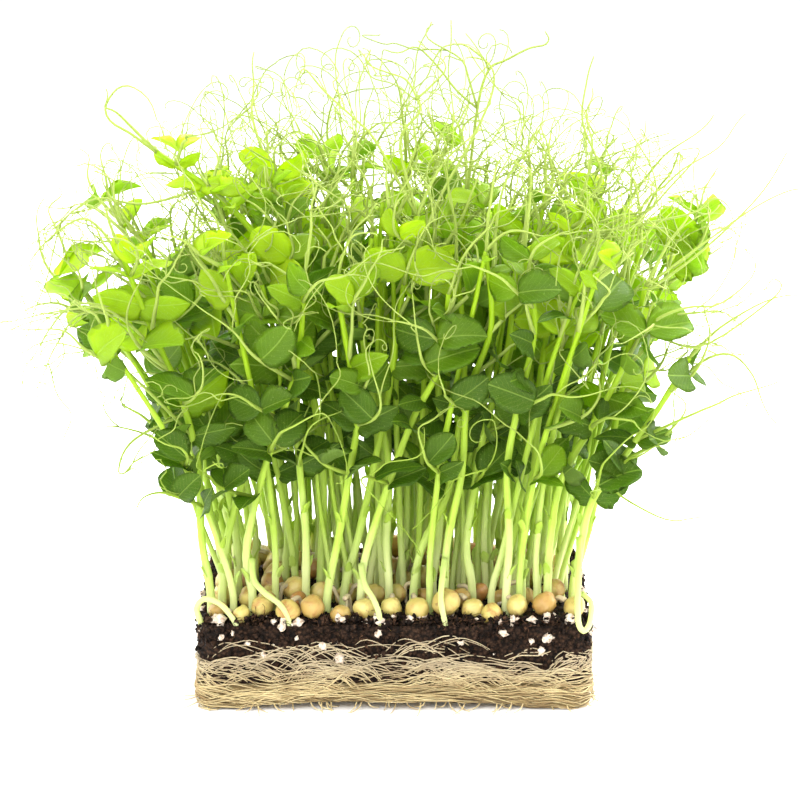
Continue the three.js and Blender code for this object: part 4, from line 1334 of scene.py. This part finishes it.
def bare_shoot(draw):
    """The line of a thin stem in the back of the block, or None where there is no room."""
    x = (BLOCK_WIDTH / 2 - 8) * (2 * draw() - 1)
    y = -20 + (BLOCK_DEPTH / 2 + 12) * draw()
    top = (x * (1.15 + 0.3 * draw()) + 14 * (draw() - 0.5), y * 1.2, 84 + 34 * draw())
    bow = 5 * (draw() - 0.5)
    control = [(x, y, BLOCK_HEIGHT - 2), (x, y, BLOCK_HEIGHT + 7), (*mixed((x, y, 32), top, 0.5)[:2], 72)]
    control[2] = plus(control[2], (1, 0, 0), bow)
    line = [curve_point([*control, top], i / BARE_STEPS) for i in range(BARE_STEPS + 1)]
    balls = tube_balls(line, tapered(len(line), 1.3, 0.8), 0.1)
    owner = f"bare {x:.2f}"
    if not is_clear(balls, owner):
        return None
    occupy(balls, owner)
    return line


surface, bare_shoots = Surface(), 0
for number in range(1, BARE_TRIES):
    draw = draws(5000 + number)
    line = bare_shoot(draw) if bare_shoots < BARE_SHOOTS else None
    if line:
        surface.tube(line, tapered(len(line), 1.3, 0.6), 6, 0.2 + 0.6 * draw(), 0)
        bare_shoots += 1
surface.piece("bare_shoots", SHOOT_MATERIALS, "shoots")
print("bare shoots:", bare_shoots)

# %% [markdown]
# ## Peas
# Each row of peas is one piece. A pea is a ball pressed a little flat and then crumpled: broad dents,
# fine wrinkles, and in some a split where the halves have parted to let the shoot out.

# %% Peas
PEA_RINGS, PEA_SIDES = 14, 24


def add_pea(surface, centre, radius, draw):
    axis = unit(any_axis(draw))
    split = draw() < 0.4
    wrinkled = 0.3 + 2.2 * draw() ** 2
    flat = 0.74 + 0.22 * draw()
    seed_place = Vector((40 * draw(), 40 * draw(), 40 * draw()))
    rows, uvs = [], []
    for i in range(PEA_RINGS + 1):
        polar = math.pi * i / PEA_RINGS
        ring = []
        for k in range(PEA_SIDES):
            angle = TURN * k / PEA_SIDES
            way = (math.sin(polar) * math.cos(angle), math.sin(polar) * math.sin(angle), -math.cos(polar))
            at = Vector(way)
            size = radius * (1 + 0.13 * noise.noise(at * 1.3 + seed_place))
            size += radius * 0.05 * wrinkled * noise.turbulence(at * 2.6 + seed_place, 3, False)
            lean = dot(way, axis)
            size -= radius * 0.13 * math.exp(-((lean / 0.09) ** 2)) if split else 0
            point = times(way, min(size, radius * 1.04))
            point = plus(point, axis, -(1 - flat) * dot(point, axis))
            ring.append(plus(centre, point))
        rows.append(ring)
        uvs.append([(k / PEA_SIDES, i / PEA_RINGS) for k in range(PEA_SIDES)])
    surface.grid(rows, uvs, draw() ** 1.5, 0, closed=True, caps=True)


for row, peas in enumerate(seed_rows):
    surface, draw = Surface(), draws(600 + row)
    for x, y, z, radius in peas:
        size = radius * (1.0 - 0.32 * draw() ** 1.4)
        settled = z - 1.2 - (radius - size) - 3.4 * draw() ** 1.6
        add_pea(surface, (x + 2.2 * (draw() - 0.5), y + 2.8 * (draw() - 0.5), settled), size, draw)
    surface.piece(f"peas_row_{row + 1}", [PEA], "seeds", [f"seed_row_{row + 1}"])

SPARE_PEAS, SPARE_TRIES = 60, 500
surface, draw, spare_peas = Surface(), draws(650), 0
for _ in range(SPARE_TRIES):
    radius = 3.3 + 1.3 * draw()
    x = (BLOCK_WIDTH / 2 - 7) * (2 * draw() - 1)
    y = (BLOCK_DEPTH / 2 - 6.5) * (2 * draw() - 1)
    centre = (x, y, BLOCK_HEIGHT + 0.2 + radius)
    ball = [(centre, radius - 0.4)]
    if spare_peas < SPARE_PEAS and is_clear(ball, f"pea {spare_peas}"):
        occupy(ball, f"pea {spare_peas}")
        add_pea(surface, centre, radius, draw)
        spare_peas += 1
surface.piece("spare_peas", [PEA], "seeds")
print("peas between the rows:", spare_peas)

# %% [markdown]
# ## The sides of the block
# The block has the tray's rounded rectangle for a plan. Everything on its sides is placed by the
# share of the way round, measured from the left end of the front, and by how far it is set in.

# %% The way round the block
def perimeter_point(share, inset):
    half_x, half_y = BLOCK_WIDTH / 2 - inset, BLOCK_DEPTH / 2 - inset
    corner = BLOCK_CORNER - inset / 2
    straight_x, straight_y, arc = 2 * (half_x - corner), 2 * (half_y - corner), math.pi / 2 * corner
    left = (share % 1) * (2 * (straight_x + straight_y) + 4 * arc)
    legs = (
        (straight_x, (-half_x + corner, -half_y, 0), 0),
        (straight_y, (half_x, -half_y + corner, 0), 1),
        (straight_x, (half_x - corner, half_y, 0), 2),
        (straight_y, (-half_x, half_y - corner, 0), 3),
    )
    for length, start, quarter in legs:
        angle = quarter * math.pi / 2
        ahead = (math.cos(angle), math.sin(angle), 0)
        outwards = (math.sin(angle), -math.cos(angle), 0)
        if left <= length:
            return plus(start, ahead, left), outwards
        left -= length
        if left <= arc:
            swung = angle - math.pi / 2 + left / corner
            centre = plus(plus(start, ahead, length), outwards, -corner)
            facing = (math.cos(swung), math.sin(swung), 0)
            return plus(centre, facing, corner), facing
        left -= arc
    return legs[0][1], (0, -1, 0)


PEAT_INSET = 1.6


def rough(point, scale, octaves=3):
    return noise.turbulence(Vector(point) * scale, octaves, False)


def broad_dent(point):
    """How far the medium's side is pressed in here, leaving its fine grain aside."""
    return 1.3 * rough(point, 0.2, 2) - 0.5


def side_point(share, z, proud):
    """A point on the block's side at a height; proud is how far it stands out of what is there."""
    point, outwards = perimeter_point(share, 0.0)
    on_medium = PEAT_INSET + broad_dent((*point[:2], z))
    bare = min(1, max(0, (z - MAT_HEIGHT + 1.5) / 3))
    inset = 0.5 + (on_medium - 0.5) * bare
    return (*plus(point, outwards, proud - inset)[:2], z), outwards


# %% [markdown]
# ## Growing medium
# The peat is a closed skin: rings up the sides, then smaller and smaller rings over the top. It is
# pushed in and out by noise. Loose crumbs, grains of perlite and reddish fibres lie on it, each a
# small lump or thread of its own, because the photo shows them casting shadows.

# %% Peat
AROUND, SIDE_LEVELS, TOP_RINGS = 340, 22, 26
surface, rows = Surface(), []
for level in range(SIDE_LEVELS + 1):
    z = MAT_HEIGHT + 0.2 + (BLOCK_HEIGHT - 1.6 - MAT_HEIGHT) * level / SIDE_LEVELS
    ring = []
    for i in range(AROUND):
        bevel = 1.2 * max(0, (z - BLOCK_HEIGHT + 4) / 4) ** 2
        point, outwards = perimeter_point(i / AROUND, PEAT_INSET + bevel)
        point = (*point[:2], z)
        dent = broad_dent(point) + 0.9 * rough(point, 0.75, 2)
        ring.append(plus(point, outwards, -dent))
    rows.append(ring)
for step in range(1, TOP_RINGS):
    share = 1 - step / TOP_RINGS
    ring = []
    for i in range(AROUND):
        point, _ = perimeter_point(i / AROUND, PEAT_INSET + 1.6)
        point = (point[0] * share, point[1] * share, BLOCK_HEIGHT)
        lift = 1.6 * rough(point, 0.2, 3) - 1.3
        ring.append((point[0], point[1], BLOCK_HEIGHT + min(1.1, lift)))
    rows.append(ring)
uvs = [[(i / AROUND, k / len(rows)) for i in range(AROUND)] for k in range(len(rows))]
surface.grid(rows, uvs, 0.2, 0, closed=True, caps=True)


# %% Crumbs and fibres on the peat
def add_lump(surface, centre, size, draw, tint, levels=4, sides=5):
    """A rough grain: a coarse ball with each corner moved."""
    seed_place = Vector((30 * draw(), 30 * draw(), 30 * draw()))
    stretch = [0.7 + 0.6 * draw() for _ in range(3)]
    rows = []
    for i in range(levels):
        polar = math.pi * (i + 0.35) / (levels - 0.3)
        ring = []
        for k in range(sides):
            angle = TURN * (k + 0.5 * (i % 2)) / sides
            flat = math.sin(polar)
            way = Vector((flat * math.cos(angle), flat * math.sin(angle), math.cos(polar)))
            reach = size * (0.75 + 0.6 * noise.noise(way * 1.6 + seed_place))
            ring.append(tuple(c + reach * s * w for c, s, w in zip(centre, stretch, way)))
        rows.append(ring[::-1])
    surface.grid(rows, [[(0.0, 0.0)] * sides] * levels, tint, 0, closed=True, caps=True)


def on_side(draw, low=17.0):
    """A place on the medium's sides, more often high than low, with the way out of it there."""
    return side_point(draw(), low + (BLOCK_HEIGHT - 0.8 - low) * draw() ** 0.7, 0.0)


def on_rim(draw):
    point, outwards = perimeter_point(draw(), PEAT_INSET + 0.6 + 2.4 * draw())
    return (point[0], point[1], BLOCK_HEIGHT - 1.6 * draw()), unit(plus(outwards, (0, 0, 1)))


def on_top(draw):
    x = (BLOCK_WIDTH / 2 - 5) * (2 * draw() - 1)
    y = (BLOCK_DEPTH / 2 - 5) * (2 * draw() - 1)
    return (x, y, BLOCK_HEIGHT - 0.2), (0, 0, 1)


def on_front_top(draw):
    x = (BLOCK_WIDTH / 2 - 5) * (2 * draw() - 1)
    return (x, -BLOCK_DEPTH / 2 + 3 + 9 * draw() ** 1.4, BLOCK_HEIGHT + 0.5), (0, 0, 1)


# How many crumbs, where, and how large the largest is
CRUMBS = ((1450, on_side, 1.5), (460, on_rim, 2.1), (320, on_top, 1.3), (420, on_front_top, 1.7))
FIBRES = 360
draw = draws(700)
for count, where, largest in CRUMBS:
    for _ in range(count):
        point, outwards = where(draw)
        size = 0.35 + (largest - 0.35) * draw() ** 2
        add_lump(surface, plus(point, outwards, 0.5 - 0.5 * draw()), size, draw, draw() ** 3)
for number in range(FIBRES):
    point, outwards = (on_side, on_rim, on_front_top)[number % 3](draw)
    ahead = unit(cross(outwards, any_axis(draw)))
    length = 3 + 7 * draw()
    line = tendril_line(plus(point, outwards, 0.3), ahead, length, 5, 1.2 * (draw() - 0.5), 0.0, outwards)
    line = [plus(p, outwards, 0.3 * math.sin(2 * i)) for i, p in enumerate(line)]
    surface.tube(line, tapered(6, 0.17, 0.1), 3, 1.0, 0)
surface.piece("peat", [PEAT], "growing_medium", ["growing_medium"])
print("faces of the peat:", len(surface.faces))

# %% [markdown]
# Perlite is glass puffed up by heat, mixed in to keep the peat loose. Its grains are the only white
# things in the medium, so they catch the eye, and each is a lump with more facets than a crumb has.

# %% Perlite
surface, draw = Surface(), draws(720)
GRAINS = 170
for number in range(GRAINS):
    point, outwards = (on_side, on_side, on_rim, on_front_top, on_top)[number % 5](draw)
    size = 0.7 + 2.1 * draw() ** 1.7
    add_lump(surface, plus(point, outwards, 0.5 - 0.2 * size), size, draw, draw(), 6, 8)
surface.piece("perlite_grains", [PERLITE], "growing_medium")
print("grains of perlite:", GRAINS)

# %% [markdown]
# ## Root mat
# Pea roots run round the inside of a tray until they make a felt. The felt is a closed ring with
# ridges along it, a little hollow under the front where the block arches off the table. On it, and on
# the peat above it, lie the strands: long arcs in bundles that split, cross and dive back in.

# %% The felt
HOLLOW = (-4.0, -BLOCK_DEPTH / 2, 52.0, 20.0, 2.6)


def underside(x, y):
    """How high the felt is off the table: only under the middle of the front."""
    cx, cy, rx, ry, high = HOLLOW
    left = 1 - ((x - cx) / rx) ** 2 - ((y - cy) / ry) ** 2
    return high * math.sqrt(left) if left > 0 else 0.0


MAT_LEVELS = ((0, 8), (0, 2.2), (0.5, 1.4), (1.2, 0.9), (2, 0.7), (3, 0.8), (4, 1.1), (5, 1.0))
MAT_LEVELS += ((6, 0.8), (7, 0.8), (8, 1.1), (9, 1.6), (9.5, 2.4), (9.4, 8))
MAT_AROUND = 420
surface, rows = Surface(), []
for z, inset in MAT_LEVELS:
    ring = []
    for i in range(MAT_AROUND):
        share = i / MAT_AROUND
        point, outwards = perimeter_point(share, inset)
        ridge = noise.noise(Vector((share * 34, z * 1.6, 3.0)))
        ridge += 0.6 * noise.noise(Vector((share * 90, z * 2.7, 9.0)))
        point = plus(point, outwards, 0.5 * ridge if inset < 3 else 0)
        lift = underside(point[0], point[1])
        high = lift + z * (MAT_HEIGHT - lift) / MAT_HEIGHT
        ring.append((point[0], point[1], max(0.0, high + (0.35 * ridge if 0 < z < 9 else 0))))
    rows.append(ring)
uvs = [[(400 * i / MAT_AROUND, z) for i in range(MAT_AROUND)] for z, _ in MAT_LEVELS]
surface.grid(rows, uvs, 0.35, 0, closed=True, caps=True)
surface.piece("root_felt", [ROOT_MAT], "roots", ["root_mat"])

# %% [markdown]
# A root that meets the tray's wall turns and follows it, and its neighbours do the same, so strands
# lie side by side in bundles. Each bundle leaves the block, swoops over an arch along the wall, fans
# out and dives back in. Low bundles are flat and dense, high ones steep and few.

# %% The strands
STRAND_STEP, STRAND_GAP = 2.0, 0.85
AROUND_LENGTH = 2 * (BLOCK_WIDTH + BLOCK_DEPTH)


def add_bundle(surface, draw, heights, arch, reach, strands, span):
    """Strands side by side that swoop over an arch together, fan out and dive back into the block."""
    start, phase, waves = span * draw(), TURN * draw(), 0.6 + 1.4 * draw()
    skew, fan = 0.65 + 0.8 * draw(), 1.4 * (draw() - 0.5)
    for strand in range(strands):
        offset = STRAND_GAP * (strand - (strands - 1) / 2)
        length = reach * (0.8 + 0.4 * draw())
        first = start + 0.01 * (draw() - 0.5)
        own_phase, proud = phase + 0.7 * draw(), 0.3 + 0.7 * draw()
        count = max(6, int(length / STRAND_STEP))
        line = []
        for i in range(count + 1):
            share = i / count
            z = heights[0] + (heights[1] - heights[0]) * share + arch * math.sin(math.pi * share**skew)
            z += offset * (1 + fan * (2 * share - 1)) + 0.45 * math.sin(own_phase + waves * TURN * share)
            z = min(BLOCK_HEIGHT - 3.5, max(0.4, z))
            ends = min(1, 8 * share, 8 * (1 - share))
            out = proud * ends - 1.1 * (1 - ends) + 0.15 * math.sin(own_phase * 3 + 9 * share)
            point, _ = side_point(first + length / AROUND_LENGTH * share, z, out)
            lift = underside(point[0], point[1]) * max(0, 1 - z / MAT_HEIGHT)
            line.append((point[0], point[1], z + lift))
        width = 0.19 + 0.13 * draw()
        radii = [width * (1 - 0.4 * abs(2 * i / count - 1)) for i in range(count + 1)]
        surface.tube(line, radii, 3, 1.15 * draw() ** 1.1, 0)


# Piece, draws, bundles, lowest and highest start, steepness, slope, strands, share of the way round
ROOT_LAYERS = (
    ("low_roots", 800, 125, 0.6, 8.5, 0.16, 7, 4, 1.0),
    ("middle_roots", 820, 150, 6.0, 14.0, 0.42, 9, 4, 1.0),
    ("high_roots", 840, 80, 12.0, 21.0, 0.36, 8, 2, 1.0),
    ("front_roots", 850, 24, 10.0, 19.0, 0.42, 8, 3, 0.27),
)
for name, stream, bundles, lowest, highest, steepness, slope, strands, span in ROOT_LAYERS:
    surface, draw = Surface(), draws(stream)
    for _ in range(bundles):
        start_height = lowest + (highest - lowest) * draw() ** 1.15
        end_height = max(0.6, start_height + slope * (draw() - 0.55))
        reach = 12 + 30 * draw() ** 1.3
        arch = min(9, reach * steepness * (1.1 * draw() - 0.15))
        many = strands + int(3 * draw()) - 1
        add_bundle(surface, draw, (start_height, end_height), arch, reach, many, span)
    surface.piece(name, [ROOT], "roots")
    print("faces of", name, len(surface.faces))

# %% [markdown]
# Where the mat was torn from the tray, short ends stick out at its foot and lie on the table. Each
# drops from the mat's edge and then runs flat.

# %% Loose ends on the table
LOOSE_ENDS = 130
surface, draw = Surface(), draws(860)
for _ in range(LOOSE_ENDS):
    point, outwards = perimeter_point(draw(), 2.5)
    drift = times((draw() - 0.5, draw() - 0.5, 0), 10)
    length = 2.5 + 6.5 * draw() ** 2
    line = []
    for i in range(6):
        reach = i / 5
        lying = plus(plus(point, outwards, length * reach), drift, reach * reach)
        line.append((lying[0], lying[1], 0.3 + 2.6 * (1 - reach) ** 2))
    surface.tube(line, tapered(6, 0.3, 0.14), 5, draw() ** 2, 0)
surface.piece("loose_roots", [ROOT], "roots")

# %% [markdown]
# A pea's first root is thick and white. It comes out above the medium, arches over and goes down.

# %% Roots that arch out of the peas
surface, draw = Surface(), draws(880)
for x, y, z, radius in [pea for row in seed_rows for pea in row if draw() < 0.5]:
    azimuth = TURN * draw()
    reach = radius + 2 + 5 * draw()
    if abs(x) > BLOCK_WIDTH / 2 - 13 or abs(y) > BLOCK_DEPTH / 2 - 12:
        azimuth = math.atan2(-y, -x)
    out = pointing(azimuth, 0.0)
    line = [plus((x, y, z), out, radius * 0.6), plus((x, y, z + 0.5), out, radius + 1.2)]
    line.append(plus((x, y, z - 1.5), out, radius + 2.6))
    line.append(plus((x, y, BLOCK_HEIGHT - 2), out, reach))
    fine = smooth_line(line, 1.2)
    surface.tube(fine, tapered(len(fine), 1.0, 0.55), 7, 0.1, 0)
surface.piece("first_roots", [ROOT], "roots")
print("faces of the first roots:", len(surface.faces))

# %% [markdown]
# A few shoots at the front edge lost their hold and bend down over it. They are few and plain to
# see, so each follows a course of its own.

# %% Shoots that bend down before the front row
# Each leaves a front stem, or the medium, and ends in the medium.
# The last one loops over the edge to its pea.
HOOKS = (
    ((-69, -45, 30), (-70.5, -46, 36), (-67.5, -48, 40), (-62, -49, 38.5), (-58, -49.5, 34), (-56, -49, 30)),
    ((-51, -38, 52), (-50, -43, 45.5), (-46, -47.5, 42), (-41, -49, 38.5), (-38, -49.5, 34),
     (-37.5, -49, 30)),
    ((-12, -38, 50), (-10.5, -44, 44), (-7.5, -48, 40), (-5.5, -49.5, 35), (-5, -49, 30)),
    ((18, -38, 52), (17, -44, 46), (16.5, -48, 40), (17.5, -49.5, 34), (18.5, -49, 29.5)),
    ((66, -38, 60), (65.5, -46, 49), (65, -51, 38), (65.5, -53.5, 32), (67.5, -54, 30), (69.5, -52.5, 33),
     (70, -48, 38.5), (67, -44, 41)),
)
surface, draw = Surface(), draws(890)
for course in HOOKS:
    fine = smooth_line(course, 1.2)
    surface.tube(fine, [r * (0.95 + 0.1 * draw()) for r in tapered(len(fine), 1.2, 0.95)], 9, 0.55, 0)
surface.piece("hooked_shoots", [STEM], "shoots")

# %% [markdown]
# ## Light, floor and camera
# The photo is bright and even: a white sweep, broad light from above, in front and both sides, and
# light from behind that makes the crown glow. The camera stands more than a metre off and looks down
# on the block by about thirteen degrees.

# %% Floor
FLOOR_HALF = 3000.0
FLOOR_LEVEL = -0.0002
floor_mesh = bpy.data.meshes.new("floor")
corners = [(x * FLOOR_HALF * MM, y * FLOOR_HALF * MM) for x, y in ((-1, -1), (1, -1), (1, 1), (-1, 1))]
floor_mesh.from_pydata([(x, y, FLOOR_LEVEL) for x, y in corners], [], [(0, 1, 2, 3)])
floor = bpy.data.objects.new("floor", floor_mesh)
bpy.context.scene.collection.objects.link(floor)
tree = Tree("white_floor")
surface_shader = tree("ShaderNodeBsdfPrincipled", {"Base Color": (0.93, 0.93, 0.93, 1.0), "Roughness": 0.9})
floor_mesh.materials.append(tree.finish(surface_shader.outputs[0]))

# %% [markdown]
# The white surroundings light the block from all sides. The lamps add shape: the strongest stands
# behind, where it shines through leaves towards the camera, and two at the sides draw bright edges.

# %% Light
world = bpy.data.worlds.new("studio")
world.use_nodes = True
world.node_tree.nodes["Background"].inputs[0].default_value = (1.0, 1.0, 1.0, 1.0)
world.node_tree.nodes["Background"].inputs[1].default_value = 0.82
bpy.context.scene.world = world


def add_light(name, place, aim, size, watts):
    lamp = bpy.data.lights.new(name, "AREA")
    lamp.shape, lamp.size, lamp.energy = "DISK", size, watts
    made = bpy.data.objects.new(name, lamp)
    made.location = place
    made.rotation_euler = (Vector(aim) - Vector(place)).to_track_quat("-Z", "Y").to_euler()
    bpy.context.scene.collection.objects.link(made)


CROWN, PEAS = (0.0, 0.0, 0.12), (0.0, 0.0, 0.09)
# Name, place in metres, what it points at, how wide it is and its watts
LAMPS = (
    ("front", (-0.5, -1.1, 0.95), CROWN, 0.8, 15),
    ("back", (0.25, 0.9, 0.85), CROWN, 0.8, 26),
    ("top", (0.1, 0.0, 1.3), CROWN, 0.8, 15),
    ("left_rim", (-1.0, 0.45, 0.5), CROWN, 0.7, 10),
    ("right_rim", (1.0, 0.1, 0.5), CROWN, 0.7, 16),
    ("low_front", (0.1, -1.25, 0.18), PEAS, 0.7, 4),
)
for lamp in LAMPS:
    add_light(*lamp)

# %% [markdown]
# A long lens from far off keeps the block's sides nearly upright, as in the photo.

# %% Camera
CAMERA = (2.0, -1222.4, 378.3)
LOOK_DOWN = math.radians(12.75)
camera = bpy.data.cameras.new("camera")
camera.sensor_width, camera.lens = 36.0, 154.4
camera.clip_end = 20.0
camera_object = bpy.data.objects.new("camera", camera)
camera_object.location = times(CAMERA, MM)
camera_object.rotation_euler = (math.pi / 2 - LOOK_DOWN, 0, 0)
bpy.context.scene.collection.objects.link(camera_object)
bpy.context.scene.camera = camera_object
bpy.context.scene.view_settings.view_transform = "Standard"
bpy.context.scene.view_settings.exposure = 0.3
print("camera at", [round(c, 3) for c in camera_object.location])
